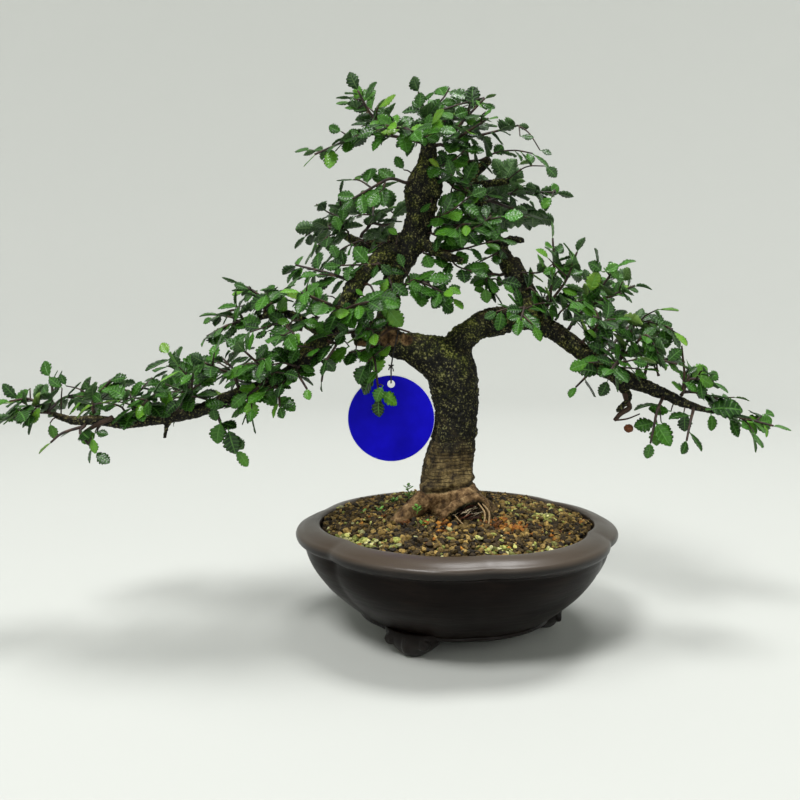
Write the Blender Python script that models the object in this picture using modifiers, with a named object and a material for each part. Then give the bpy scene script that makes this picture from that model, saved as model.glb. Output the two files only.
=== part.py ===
"""Chinese elm bonsai: an old elm with two long limbs, in a round clay pot with six lobes.

Sizes are millimetres from the middle of the pot's underside, +X right, +Y back and +Z up. The
stand empty carries every piece, so the whole tree's footprint has its middle at the origin.
"""
import math
import random

import bmesh
import bpy
from mathutils import Matrix, Vector
from mathutils.bvhtree import BVHTree

MM = 0.001
TREE = "chinese_elm_bonsai"

# Where the pot's middle stands, so that the whole tree's footprint is centred
POT_PLACE = (38.5, 0.0, 0.0)

# The gap that touching pieces keep
GAP = 0.35

# Pot: radius and height at a lobe's middle, outer side from the rim down
POT_OUTSIDE = [(82.0, 65.0), (89.5, 64.4), (94.8, 60.5), (94.0, 56.3), (90.0, 53.6),
               (84.0, 38.5), (70.5, 23.5), (57.0, 11.0), (51.0, 8.0)]
POT_INSIDE = [(80.0, 60.5), (74.0, 39.0), (48.0, 16.0)]
POT_STEPS = 48
LOBES = 6
LOBE_ANGLE = math.radians(7.5)
NOTCH_POWER = 1.8
BODY_NOTCH = 0.024
LIP_NOTCH = 0.042
LIP_BOTTOM = 53.0
LIP_BLEND = (6.0, 8.0)
FEET = 3
FOOT_RADIUS = 52.0
FOOT_HALF_WIDTH = 17.0
FOOT_HALF_DEPTH = 11.0
FOOT_HEIGHT = 15.0
FOOT_TUCK = 0.5
DRAIN_PLACE = 24.0
DRAIN_RADIUS = 9.0
DRAIN_SIDES = 14
MESH_SIDE = 27.0
MESH_THICK = 1.0
MESH_HOLES = 3
MESH_BAR = 1.8

# Soil: height over the radius, and the depth and waves of its coarse grains
SOIL_EDGE = 59.5
SOIL_MOUND = 70.5
SOIL_REACH = 79.0
SOIL_FALL = 2.2
SOIL_CLEAR = 0.6
SOIL_RINGS = 8
SOIL_STEPS = 24
GRAIN = 0.9
GRAIN_WAVES = [(0.83, 0.31), (-0.23, 0.77), (1.9, -1.3)]
FINE_GRAIN = 0.7
HOLE_CLEAR = 0.1

# Wood: (x, y, z, radius) along each limb
TRUNK = [(-4, 0, 52, 16.5), (-4, 0, 69, 17.2), (-4, 0, 78, 16.0), (-5, 0, 88, 15.3), (-3, 0, 100, 14.1),
         (-1, 0, 115, 12.5), (0, 0, 129, 12.3), (-1, 0, 140, 13.4), (-3, 0, 152, 14.6), (-5, 0, 162, 13.0),
         (-6, 0, 168, 8.0)]
FORK_LEFT = [(-3, 0, 156, 10.0), (-10, -1, 162, 10.6), (-16, -3, 165, 9.0), (-27, -6, 167, 8.3),
             (-36, -8, 169, 7.8), (-41, -8, 174, 6.9), (-42, -6, 181, 5.9), (-40, -3, 190, 5.5)]
LEADER = [(-42, -6, 179, 5.4), (-39, -2, 192, 5.5), (-38, 2, 202, 5.8), (-35, 6, 212, 7.0),
          (-29, 9, 223, 8.2), (-24, 10, 233, 8.8), (-21, 10, 245, 8.7), (-21, 9, 253, 9.8),
          (-20, 8, 260, 10.0), (-18, 8, 269, 7.4), (-17, 8, 276, 5.5), (-17, 8, 284, 4.4),
          (-16, 8, 291, 3.2)]
LEFT = [(-27, 10, 227, 4.8), (-42, 2, 219, 5.2), (-51, -6, 212, 5.1), (-58, -12, 203, 5.4),
        (-63, -17, 192, 5.3), (-70, -21, 180, 5.6), (-78, -24, 171, 5.5), (-85, -26, 164, 5.3),
        (-94, -28, 154, 4.7), (-110, -30, 146, 4.4), (-126, -30, 141, 3.9), (-142, -28, 134, 3.6),
        (-156, -26, 130, 3.3), (-173, -24, 127, 3.1), (-190, -22, 126, 2.8), (-204, -20, 128, 2.4),
        (-219, -17, 127, 1.9), (-232, -14, 130, 1.4)]
LEFT_UPPER = [(-74, -22, 175, 3.4), (-85, -16, 180, 2.9), (-93, -10, 185, 2.6), (-104, -4, 186, 2.2),
              (-114, 2, 184, 1.8), (-122, 6, 181, 1.4)]
LEFT_BACK = [(-24, 10, 231, 5.0), (-38, 20, 228, 4.8), (-49, 28, 226, 4.2), (-58, 35, 228, 3.4),
             (-67, 41, 233, 2.5), (-75, 46, 237, 1.6)]
RIGHT = [(-4, 0, 157, 10.5), (1, 2, 169, 8.8), (9, 4, 176, 7.4), (17, 6, 182, 7.0), (26, 8, 184, 6.6),
         (37, 9, 183, 6.5), (49, 9, 179, 6.5), (62, 8, 171, 6.5), (73, 6, 163, 5.9), (85, 3, 155, 5.3),
         (97, 0, 149, 4.7), (109, -3, 144, 4.1), (119, -6, 140, 3.5), (130, -8, 135, 2.9),
         (139, -10, 132, 2.0), (147, -12, 130, 1.4)]
RISER = [(44, 9, 179, 4.7), (40, 16, 194, 4.8), (35, 22, 206, 4.8), (30, 27, 218, 4.9),
         (24, 31, 229, 5.2), (18, 34, 241, 5.2), (14, 35, 253, 4.9), (10, 34, 264, 3.9),
         (7, 32, 274, 3.0), (5, 30, 283, 2.2), (3, 27, 291, 1.5)]
LIMB_STEP = 15.0
LIMBS = {"fork_left": FORK_LEFT, "leader": LEADER, "left": LEFT, "left_upper": LEFT_UPPER,
         "left_back": LEFT_BACK, "right": RIGHT, "riser": RISER}

# Roots that spread from the trunk and dive into the soil
ROOTS = [[(-6, -2, 84, 9.0), (-18, -9, 76, 7.0), (-31, -14, 69, 5.2), (-42, -18, 58, 3.4)],
         [(2, -4, 84, 9.0), (9, -14, 76, 7.2), (15, -22, 68, 5.6), (19, -29, 57, 3.6)],
         [(3, 1, 82, 8.5), (15, 1, 74, 6.6), (28, -3, 66, 4.6), (38, -6, 55, 3.0)],
         [(-4, 4, 84, 9.0), (-6, 15, 76, 7.2), (-8, 27, 67, 5.2), (-9, 38, 55, 3.2)],
         [(0, 3, 82, 8.0), (10, 12, 74, 6.2), (20, 22, 64, 4.4), (27, 30, 54, 3.0)]]

# Pruned stubs, dead twigs and the burl
STUBS = [[(-30, -7, 168, 6.5), (-44, -10, 170, 5.0), (-52, -12, 170, 3.4), (-60, -15, 170, 1.8)],
         [(-26, -11, 170, 3.0), (-25, -16, 179, 1.9), (-24, -17, 185, 1.3)],
         [(-21, 9, 232, 4.5), (-17, 1, 224, 3.2), (-5, -7, 218, 2.6), (2, -13, 216, 1.6)],
         [(9, 34, 268, 3.2), (17, 31, 275, 3.0), (20, 29, 278, 2.8)],
         [(14, 33, 262, 2.8), (24, 28, 264, 2.4), (31, 24, 264, 2.0)],
         [(26, 31, 226, 3.2), (33, 27, 230, 2.6), (41, 24, 229, 2.0)],
         [(90, 1, 152, 3.6), (97, -3, 141, 2.6), (99, -5, 137, 2.2), (91, -8, 130, 1.4)],
         [(-162, -25, 129, 2.4), (-164, -26, 121, 1.8), (-166, -27, 116, 1.3)],
         [(31, 8, 183, 4.6), (31, 3, 176, 3.4)]]
BURL = (-17, 5, 258, 8.5)

# Leafy sprays: the limb that each grows from, and its stems' points, out to each tip
SPRAYS = {
    "spray_left_tip": ("left", [[(-243, -16, 138), (-254, -18, 137)], [(-240, -22, 131), (-249, -30, 129)],
                                [(-233, -9, 141), (-235, -7, 150)], [(-230, 1, 137), (-223, 14, 138)]]),
    "spray_left_hang": ("left", [[(-212, -26, 120), (-202, -31, 110)], [(-222, -26, 120), (-228, -28, 115)]]),
    "spray_left_a": ("left", [[(-206, -19, 138), (-196, -20, 149)], [(-209, -4, 136), (-217, 18, 136)]]),
    "spray_left_b": ("left", [[(-184, -20, 138), (-174, -14, 150)], [(-174, -36, 137), (-164, -47, 144)]]),
    "spray_left_c": ("left", [[(-152, -22, 147), (-164, -16, 164)], [(-146, -40, 147), (-142, -54, 156)]]),
    "spray_left_c_back": ("left", [[(-160, 0, 138), (-174, 26, 143)]]),
    "spray_left_under": ("left", [[(-132, -29, 124), (-124, -31, 111)]]),
    "spray_left_d": ("left", [[(-124, -36, 153), (-137, -49, 161)], [(-128, -8, 153), (-140, 18, 159)]]),
    "spray_left_e": ("left", [[(-107, -45, 158), (-114, -60, 168)], [(-115, -42, 142), (-113, -45, 132)],
                              [(-99, -44, 147), (-97, -52, 138)]]),
    "spray_left_f": ("left", [[(-88, -40, 153), (-83, -48, 147)]]),
    "spray_upper_out": ("left_upper", [[(-130, 8, 188), (-143, 6, 183)],
                                       [(-130, -10, 180), (-140, -26, 174)]]),
    "spray_upper_top": ("left_upper", [[(-114, -1, 196), (-125, -2, 203)],
                                       [(-102, -12, 195), (-97, -22, 200)],
                                       [(-115, 20, 193), (-117, 42, 199)]]),
    "spray_upper_low": ("left_upper", [[(-96, -26, 180), (-90, -44, 176)]]),
    "spray_shoulder_out": ("left", [[(-74, -5, 209), (-94, 4, 214)]]),
    "spray_shoulder_front": ("left", [[(-68, -34, 190), (-86, -43, 198)],
                                      [(-58, -36, 191), (-50, -44, 193)]]),
    "spray_shoulder_low": ("left", [[(-68, -37, 170), (-73, -45, 162)]]),
    "spray_shoulder_fall": ("left", [[(-76, -22, 159), (-78, -14, 148)]]),
    "spray_back_end": ("left_back", [[(-83, 50, 240), (-93, 54, 234)], [(-80, 60, 242), (-76, 80, 251)]]),
    "spray_back_top": ("left_back", [[(-51, 38, 241), (-50, 50, 254)], [(-42, 46, 240), (-34, 60, 253)]]),
    "spray_shoot_up": ("left_back", [[(-69, 32, 236), (-69, 23, 256)]]),
    "spray_fork_hang": ("fork_left", [[(-48, -20, 166), (-47, -24, 156), (-45, -27, 140)]]),
    "spray_fork_out": ("fork_left", [[(-52, -22, 178), (-62, -36, 176)]]),
    "spray_window": ("leader", [[(-22, -11, 204), (-4, -18, 195)]]),
    "spray_leader_left": ("leader", [[(-39, -4, 262), (-60, -12, 250)]]),
    "spray_leader_right": ("leader", [[(-6, -2, 236), (6, -16, 236)]]),
    "spray_crown_left": ("leader", [[(-52, 4, 288), (-82, 0, 276)], [(-50, -2, 298), (-57, -6, 310)],
                                    [(-40, 28, 297), (-54, 44, 308)]]),
    "spray_crown_front": ("leader", [[(-25, -14, 286), (-41, -34, 286)]]),
    "spray_crown_top": ("leader", [[(-19, 8, 301), (-23, 3, 311)], [(-6, 36, 302), (-2, 50, 312)]]),
    "spray_crown_right": ("leader", [[(-6, 4, 282), (0, 1, 292), (14, -5, 306)],
                                     [(4, -8, 287), (15, -16, 293)]]),
    "spray_riser_top": ("riser", [[(18, 26, 292), (36, 22, 296)]]),
    "spray_riser_right": ("riser", [[(34, 34, 258), (60, 28, 258)], [(34, 40, 250), (54, 46, 244)]]),
    "spray_riser_front": ("riser", [[(4, 14, 258), (-5, -6, 264)]]),
    "spray_riser_low": ("riser", [[(8, 18, 238), (-10, 8, 229)], [(14, 8, 242), (15, -8, 238)]]),
    "spray_riser_back": ("riser", [[(26, 60, 262), (36, 84, 280)], [(32, 62, 248), (48, 82, 250)]]),
    "spray_riser_window": ("riser", [[(18, 14, 208), (17, 5, 194)]]),
    "spray_right_a": ("right", [[(57, 13, 206), (56, 12, 230)], [(63, 2, 206), (67, -6, 221)]]),
    "spray_right_a_front": ("right", [[(37, -9, 190), (33, -26, 183)]]),
    "spray_right_b": ("right", [[(82, 8, 198), (92, 5, 213)], [(86, -6, 196), (99, -12, 202)],
                                [(82, 34, 198), (95, 58, 206)]]),
    "spray_right_c": ("right", [[(106, 2, 182), (124, -2, 177)], [(106, -14, 174), (111, -20, 164)]]),
    "spray_right_c_front": ("right", [[(78, -22, 182), (70, -40, 185)]]),
    "spray_right_c_back": ("right", [[(103, 32, 174), (120, 56, 183)]]),
    "spray_right_under": ("right", [[(76, 2, 150), (68, -6, 144)]]),
    "spray_right_d_front": ("right", [[(88, -22, 160), (80, -42, 157)]]),
    "spray_right_d": ("right", [[(110, -10, 160), (123, -16, 158)]]),
    "spray_end_up": ("right", [[(132, -11, 149), (144, -16, 148)], [(142, 2, 140), (158, 8, 134)]]),
    "spray_end_tip": ("right", [[(158, -14, 128), (178, -18, 123)]]),
    "spray_end_low": ("right", [[(130, -21, 126), (126, -28, 116)]]),
    "spray_end_hang": ("right", [[(112, -18, 132), (107, -24, 114)]]),
}
TWIG_BASE_RADIUS = 1.15
TWIG_TIP_RADIUS = 0.6
TWIG_STEP = 13.0
FIRST_REACH = 2.6
TWIG_CLEAR = 1.1
BEND_TRIES = 6
FORK_RADIUS = 0.85
NEAR_SEAT = 0.6

# Leaf: a toothed blade, keeled under its midrib
LEAF_LENGTH = (12.5, 16.5)
LEAF_WIDTH = 0.66
LEAF_THICK = 0.95
LEAF_TEETH = [0.34, 0.68]
LEAF_NOTCH = (0.07, 0.76)
LEAF_ROOT = -0.15
LEAF_RIB = [(0.13, 0.42), (0.5, 0.5)]
LEAF_FOLD = 0.16
LEAF_DROOP = 0.14
LEAF_SPACING = 12.3
FIRST_LEAF = 7.0
LAST_LEAF = 3.0
TIP_LEAF = (0.6, 0.9)
LEAF_TRIES = 12
SAME_SIDE_TRIES = 5
LEAF_SEED = 41

# Which way a leaf faces and points: parts of up, of outward from the tree's middle, of chance,
# of the twig's own direction and of its side, and how much it leans up or down
CROWN_MIDDLE = 8.0
FACE_UP = 0.9
FACE_OUT = 0.5
FACE_CHANCE = 0.55
POINT_ALONG = (0.35, 0.75)
POINT_SIDE = 0.8
TIP_SIDE = 0.15
POINT_LEAN = (-0.5, 0.15)

# The room a leaf keeps clear: (along, across) as parts of its length, and its half thickness
GUARD_STALK = (0.22, 1.2)
GUARD_SIDE = [(0.5, 0.36), (0.85, 0.26)]
GUARD_TIP = 1.06
GUARD_THICK = 0.95
GUARD_REACH = 0.56

# Tag: a plain disc that hangs on a thread tied round the left limb
TAG_CENTRE = (-38.6, -8.5, 126.0)
TAG_RADIUS = 25.0
TAG_THICK = 1.2
TAG_HOLE_UP = 20.0
TAG_HOLE_RADIUS = 2.2
THREAD_RADIUS = 0.45
KNOT = (-38.6, -8.5, 156.0)
KNOT_RADIUS = 1.3
LOOP_CENTRE = (-36.0, -8.0, 169.5)
LOOP_LEAN = 0.22
LOOP_HALF_TURN = 130.0
LOOP_POINTS = 13
TAG_LOOP = [(-1.7, 6.5), (-1.7, 1.7), (-1.2, 0.7), (1.2, 0.7), (1.7, 1.7), (1.7, 6.5)]

# Colours: (red, green, blue), roughness
COLOURS = {"pot": ((0.055, 0.040, 0.034), 0.42), "soil": ((0.16, 0.10, 0.045), 0.95),
           "wood": ((0.12, 0.085, 0.055), 0.85), "leaf": ((0.035, 0.16, 0.035), 0.40),
           "tag": ((0.02, 0.03, 0.55), 0.35), "thread": ((0.01, 0.01, 0.01), 0.70),
           "drain_mesh": ((0.02, 0.02, 0.02), 0.60)}


def clear_scene():
    for old in list(bpy.data.objects):
        bpy.data.objects.remove(old)


def new_collection(name):
    collection = bpy.data.collections.new(name)
    bpy.context.scene.collection.children.link(collection)
    return collection


def material(name):
    found = bpy.data.materials.get(name)
    if found:
        return found
    colour, roughness = COLOURS[name]
    made = bpy.data.materials.new(name)
    made.use_nodes = True
    shader = made.node_tree.nodes["Principled BSDF"]
    shader.inputs["Base Color"].default_value = (*colour, 1.0)
    shader.inputs["Roughness"].default_value = roughness
    return made


def mm(*point):
    return Vector(point[:3]) * MM


def smooth_route(points, step):
    """Points a step apart on a smooth curve through (x, y, z, radius) points, in millimetres."""
    keys = [Vector(p) for p in points]
    keys = [keys[0] * 2 - keys[1]] + keys + [keys[-1] * 2 - keys[-2]]
    route = []
    for a, b, c, d in zip(keys, keys[1:], keys[2:], keys[3:]):
        parts = max(1, round((c.xyz - b.xyz).length / step))
        for i in range(parts):
            t = i / parts
            route.append(0.5 * ((2 * b) + (c - a) * t + (2 * a - 5 * b + 4 * c - d) * t * t
                                + (3 * b - a - 3 * c + d) * t ** 3))
    route.append(keys[-2])
    return route


def curve_to_mesh(curve_object):
    """Turn a curve object into a closed mesh object, its caps welded on."""
    graph = bpy.context.evaluated_depsgraph_get()
    mesh = bpy.data.meshes.new_from_object(curve_object.evaluated_get(graph))
    solid = bpy.data.objects.new(curve_object.name + "_solid", mesh)
    solid.matrix_world = curve_object.matrix_world
    bpy.context.scene.collection.objects.link(solid)
    bpy.data.objects.remove(curve_object)
    shape = bmesh.new()
    shape.from_mesh(mesh)
    bmesh.ops.remove_doubles(shape, verts=shape.verts, dist=0.00001)
    bmesh.ops.recalc_face_normals(shape, faces=shape.faces)
    shape.to_mesh(mesh)
    shape.free()
    return solid


def tube(name, route, bevel_resolution, extra=0.0, ring=False):
    """A tapered tube through (x, y, z, radius) points in millimetres."""
    curve = bpy.data.curves.new(name, "CURVE")
    curve.dimensions = "3D"
    curve.bevel_depth = MM
    curve.bevel_resolution = bevel_resolution
    curve.use_fill_caps = not ring
    spline = curve.splines.new("POLY")
    spline.points.add(len(route) - 1)
    spline.use_cyclic_u = ring
    for point, key in zip(spline.points, route):
        point.co = (*mm(*key), 1.0)
        point.radius = key[3] + extra
    curve_object = bpy.data.objects.new(name, curve)
    bpy.context.scene.collection.objects.link(curve_object)
    bpy.context.view_layer.update()
    return curve_to_mesh(curve_object)


def combine(base, others, operation, solver="EXACT"):
    """Join the others to the base, or cut them from it, in one step, and drop them."""
    group = new_collection("operands")
    for other in others:
        for held in list(other.users_collection):
            held.objects.unlink(other)
        group.objects.link(other)
    step = base.modifiers.new("combine", "BOOLEAN")
    step.operation = operation
    step.solver = solver
    step.operand_type = "COLLECTION"
    step.collection = group
    graph = bpy.context.evaluated_depsgraph_get()
    mesh = bpy.data.meshes.new_from_object(base.evaluated_get(graph))
    base.modifiers.clear()
    base.data = mesh
    for other in others:
        bpy.data.objects.remove(other)
    bpy.data.collections.remove(group)
    return base


def tree_of(piece):
    """A search tree of a mesh object's faces, in metres."""
    shape = bmesh.new()
    shape.from_mesh(piece.data)
    shape.transform(piece.matrix_world)
    found = BVHTree.FromBMesh(shape)
    shape.free()
    return found


def finish(piece, name, slot, stand, parts, smooth_angle=None):
    """Name a finished piece, give it its material and set it on the stand."""
    for held in list(piece.users_collection):
        held.objects.unlink(piece)
    parts.objects.link(piece)
    piece.name = name
    piece.data.name = name
    piece.data.materials.clear()
    piece.data.materials.append(material(slot))
    if smooth_angle:
        piece.data.shade_smooth()
        piece.data.set_sharp_from_angle(angle=math.radians(smooth_angle))
    piece.parent = stand
    return piece


def lobe_factor(x, y, z):
    """How far the pot's wall is drawn in at this angle: most at the creases between its lobes."""
    angle = math.atan2(y, x) - LOBE_ANGLE
    crease = (1.0 - abs(math.cos(LOBES / 2 * angle))) ** NOTCH_POWER
    lip = min(1.0, max(0.0, (z - LIP_BOTTOM + LIP_BLEND[0]) / LIP_BLEND[1]))
    return 1.0 - (BODY_NOTCH + (LIP_NOTCH - BODY_NOTCH) * lip) * crease


def turned(name, profile, steps):
    """A turned solid of a closed profile of (radius, height) in millimetres, creased like the pot.

    The profile starts at the middle of a lobe, so that steps fall on every lobe and crease.
    """
    mesh = bpy.data.meshes.new(name)
    cos, sin = math.cos(LOBE_ANGLE), math.sin(LOBE_ANGLE)
    points = [(radius * cos * MM, radius * sin * MM, height * MM) for radius, height in profile]
    mesh.from_pydata(points, [(i, i + 1) for i in range(len(points) - 1)], [])
    piece = bpy.data.objects.new(name, mesh)
    bpy.context.scene.collection.objects.link(piece)
    screw = piece.modifiers.new("turn", "SCREW")
    screw.steps = steps
    screw.render_steps = steps
    screw.use_merge_vertices = True
    screw.merge_threshold = 0.00001
    graph = bpy.context.evaluated_depsgraph_get()
    solid = bpy.data.meshes.new_from_object(piece.evaluated_get(graph))
    piece.modifiers.clear()
    piece.data = solid
    shape = bmesh.new()
    shape.from_mesh(solid)
    bmesh.ops.remove_doubles(shape, verts=shape.verts, dist=0.00001)
    bmesh.ops.recalc_face_normals(shape, faces=shape.faces)
    for vert in shape.verts:
        factor = lobe_factor(vert.co.x, vert.co.y, vert.co.z / MM)
        vert.co.x *= factor
        vert.co.y *= factor
    shape.to_mesh(solid)
    shape.free()
    return piece


def drain_cutters(radius, low, high):
    cutters = []
    for side in (-1, 1):
        bpy.ops.mesh.primitive_cylinder_add(
            vertices=DRAIN_SIDES, radius=radius * MM, depth=(high - low) * MM,
            location=mm(side * DRAIN_PLACE, 0, (high + low) / 2))
        cutters.append(bpy.context.object)
    return cutters


def make_pot():
    """Body and lip turned from one profile, feet joined under it, two drain holes cut."""
    floor = POT_INSIDE[-1][1]
    profile = [(0, floor)] + POT_INSIDE[::-1] + POT_OUTSIDE + [(0, POT_OUTSIDE[-1][1])]
    pot = turned("pot", profile, POT_STEPS)
    feet = []
    for number in range(FEET):
        angle = number * 2 * math.pi / FEET
        bpy.ops.mesh.primitive_cone_add(
            vertices=12, radius1=FOOT_TUCK * MM, radius2=MM, depth=FOOT_HEIGHT * MM,
            location=mm(FOOT_RADIUS * math.cos(angle), FOOT_RADIUS * math.sin(angle), FOOT_HEIGHT / 2),
            rotation=(0, 0, angle), scale=(FOOT_HALF_DEPTH, FOOT_HALF_WIDTH, 1.0))
        foot = bpy.context.object
        bpy.ops.object.transform_apply(location=False, rotation=False, scale=True)
        feet.append(foot)
    combine(pot, feet, "UNION")
    return combine(pot, drain_cutters(DRAIN_RADIUS, 2.0, floor + 4.0), "DIFFERENCE")


def make_drain_mesh(side):
    """A square of plastic mesh over a drain hole: a plate with a grid of square holes."""
    floor = POT_INSIDE[-1][1]
    bpy.ops.mesh.primitive_cube_add(
        size=1.0, location=mm(side * DRAIN_PLACE, 0, floor + GAP + MESH_THICK / 2),
        scale=mm(MESH_SIDE, MESH_SIDE, MESH_THICK))
    plate = bpy.context.object
    bpy.ops.object.transform_apply(location=True, rotation=False, scale=True)
    pitch = (MESH_SIDE - MESH_BAR) / MESH_HOLES
    middle = (MESH_HOLES - 1) / 2
    cutters = []
    for i in range(MESH_HOLES):
        for j in range(MESH_HOLES):
            x = side * DRAIN_PLACE + (i - middle) * pitch
            y = (j - middle) * pitch
            bpy.ops.mesh.primitive_cube_add(size=1.0, location=mm(x, y, floor + 1.0),
                                            scale=mm(pitch - MESH_BAR, pitch - MESH_BAR, 6.0))
            cutters.append(bpy.context.object)
    return combine(plate, cutters, "DIFFERENCE")


def soil_height(x, y):
    """Height of the soil's surface: a low mound at the trunk with coarse grains."""
    reach = min(1.0, math.hypot(x, y) / SOIL_REACH)
    mound = SOIL_EDGE + (SOIL_MOUND - SOIL_EDGE) * (1.0 - reach ** SOIL_FALL)
    first, second, fine = [math.sin(x * along + y * across) for along, across in GRAIN_WAVES]
    return mound + GRAIN * (first * second + FINE_GRAIN * fine) * (1.0 - reach ** 8)


def pot_inner_radius(height):
    for (r0, z0), (r1, z1) in zip(POT_INSIDE, POT_INSIDE[1:]):
        if z1 <= height <= z0:
            return r1 + (r0 - r1) * (height - z1) / (z0 - z1)
    return POT_INSIDE[0][0]


def lengthen(points, extra):
    """The same points with the first moved outward by the extra."""
    first, second = Vector(points[0][:3]), Vector(points[1][:3])
    first = first + (first - second).normalized() * extra
    return [(*first, points[0][3])] + [tuple(p) for p in points[1:]]


def wood_pieces(extra, buried_only=False):
    """The trunk, roots and limbs as tapered tubes."""
    pieces = [tube("trunk", smooth_route(lengthen(TRUNK, extra), LIMB_STEP), 3, extra)]
    for root in ROOTS:
        route = lengthen(smooth_route(root, LIMB_STEP)[::-1], extra)
        pieces.append(tube("root", route, 1, extra))
    if buried_only:
        return pieces
    for name, sides in (("right", 2), ("fork_left", 2), ("leader", 2), ("left", 1), ("riser", 1),
                        ("left_back", 1), ("left_upper", 1)):
        pieces.append(tube(name, smooth_route(LIMBS[name], LIMB_STEP), sides))
    for stub in STUBS:
        pieces.append(tube("stub", smooth_route(stub, LIMB_STEP), 0))
    bpy.ops.mesh.primitive_ico_sphere_add(subdivisions=1, radius=BURL[3] * MM, location=mm(*BURL))
    pieces.append(bpy.context.object)
    return pieces


def make_wood():
    """Everything woody down to finger twigs, grown as one piece."""
    pieces = wood_pieces(0.0)
    return combine(pieces[0], pieces[1:], "UNION")


def make_soil():
    """Soil that fills the pot, with a plain hole for the trunk and roots, and room for the drain mesh."""
    floor = POT_INSIDE[-1][1]
    low = floor + GAP
    profile = [(0, SOIL_EDGE)]
    edge = pot_inner_radius(SOIL_EDGE) - SOIL_CLEAR
    for ring in range(1, SOIL_RINGS):
        profile.append((edge * ring / SOIL_RINGS, SOIL_EDGE))
    profile.append((edge, SOIL_EDGE))
    for radius, height in POT_INSIDE[1:-1]:
        profile.append((radius - SOIL_CLEAR, height))
    profile.append((POT_INSIDE[-1][0] - SOIL_CLEAR, low))
    profile.append((0, low))
    soil = turned("soil", profile, SOIL_STEPS)
    for vert in soil.data.vertices:
        x, y, z = vert.co / MM
        if z > SOIL_EDGE - GAP:
            vert.co.z = soil_height(x, y) * MM
    hole = wood_pieces(GAP + HOLE_CLEAR, buried_only=True)
    pockets = [combine(hole[0], hole[1:], "UNION")]
    for side in (-1, 1):
        half = MESH_SIDE + 2 * GAP
        bpy.ops.mesh.primitive_cube_add(size=1.0, location=mm(side * DRAIN_PLACE, 0, floor),
                                        scale=mm(half, half, 2 * (MESH_THICK + 2 * GAP)))
        pockets.append(bpy.context.object)
    return combine(soil, pockets, "DIFFERENCE")


def leaf_outline(length):
    """One side of a blade from its first tooth to its last, as (along, across)."""
    side = []
    for along in LEAF_TEETH:
        across = math.sin(math.pi * along ** 0.85) ** 0.75 * LEAF_WIDTH * length / 2
        side.append((along * length, across))
        if along != LEAF_TEETH[-1]:
            side.append(((along + LEAF_NOTCH[0]) * length, LEAF_NOTCH[1] * across))
    return side


def leaf_shape(length, thick, outline):
    """A closed blade: its two faces meet at the toothed edge and part at the midrib."""
    def height(along, across):
        return LEAF_FOLD * abs(across) - LEAF_DROOP * length * max(0.0, along / length) ** 2

    edge = [(LEAF_ROOT, 0.0)] + outline + [(length, 0.0)] + [(a, -c) for a, c in reversed(outline)]
    shape = bmesh.new()
    rim = [shape.verts.new((a, c, height(a, c))) for a, c in edge]
    for side in (1, -1):
        stalk, blade = [shape.verts.new((a * length, 0.0, height(a * length, 0.0) + side * lift * thick))
                        for a, lift in LEAF_RIB]
        for i, start in enumerate(rim):
            end = rim[(i + 1) % len(rim)]
            shape.faces.new((start, end, stalk if start is rim[0] or end is rim[0] else blade))
        shape.faces.new((rim[1], blade, stalk))
        shape.faces.new((rim[-1], stalk, blade))
    bmesh.ops.recalc_face_normals(shape, faces=shape.faces)
    return shape


def leaf_matrix(root, along, normal):
    along = along.normalized()
    across = normal.cross(along).normalized()
    up = along.cross(across).normalized()
    return Matrix(((along.x, across.x, up.x, root.x), (along.y, across.y, up.y, root.y),
                   (along.z, across.z, up.z, root.z), (0, 0, 0, 1)))


def nearest_on_limb(limb, point):
    """The nearest place on a limb's axis, with its direction there and its radius."""
    best = None
    for start, end in zip(limb, limb[1:]):
        a, b = Vector(start[:3]), Vector(end[:3])
        along = b - a
        t = min(1.0, max(0.0, (point - a).dot(along) / along.length_squared))
        place = a + along * t
        gap = (point - place).length
        if best is None or gap < best[0]:
            best = (gap, place, along.normalized(), start[3] + (end[3] - start[3]) * t)
    return best[1:]


def seat_on_wood(limb, first, wood_tree):
    """Where a twig leaves the bark and which way: straight out of it, the usual gap above it."""
    place, along, radius = nearest_on_limb(limb, first)
    out = first - place
    at_end = (place - Vector(limb[-1][:3])).length < 1.0
    if at_end:
        out = along
    else:
        out = (out - along * out.dot(along)).normalized()
    start = place + out * (radius + 6.0)
    hit, normal, _, _ = wood_tree.ray_cast(start * MM, -out)
    normal = normal if normal.dot(out) > 0 else -normal
    return hit / MM + normal * GAP, normal


def bend_clear(points, wood_tree):
    """Move a twig's middle points out of the bark's reach."""
    moved = list(points[:2])
    for point in points[2:]:
        for _ in range(BEND_TRIES):
            near, normal, _, gap = wood_tree.find_nearest(point * MM)
            inside = (point * MM - near).dot(normal) < 0
            reach = -gap / MM if inside else gap / MM
            if reach > TWIG_BASE_RADIUS + TWIG_CLEAR:
                break
            point = point + normal * (TWIG_BASE_RADIUS + TWIG_CLEAR + GAP - reach)
        moved.append(point)
    return moved


def tapered(points, base_radius):
    """Give a route's points radii that fall evenly to the tip's."""
    last = len(points) - 1
    return [(*p[:3], base_radius + (TWIG_TIP_RADIUS - base_radius) * i / last) for i, p in enumerate(points)]


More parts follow.
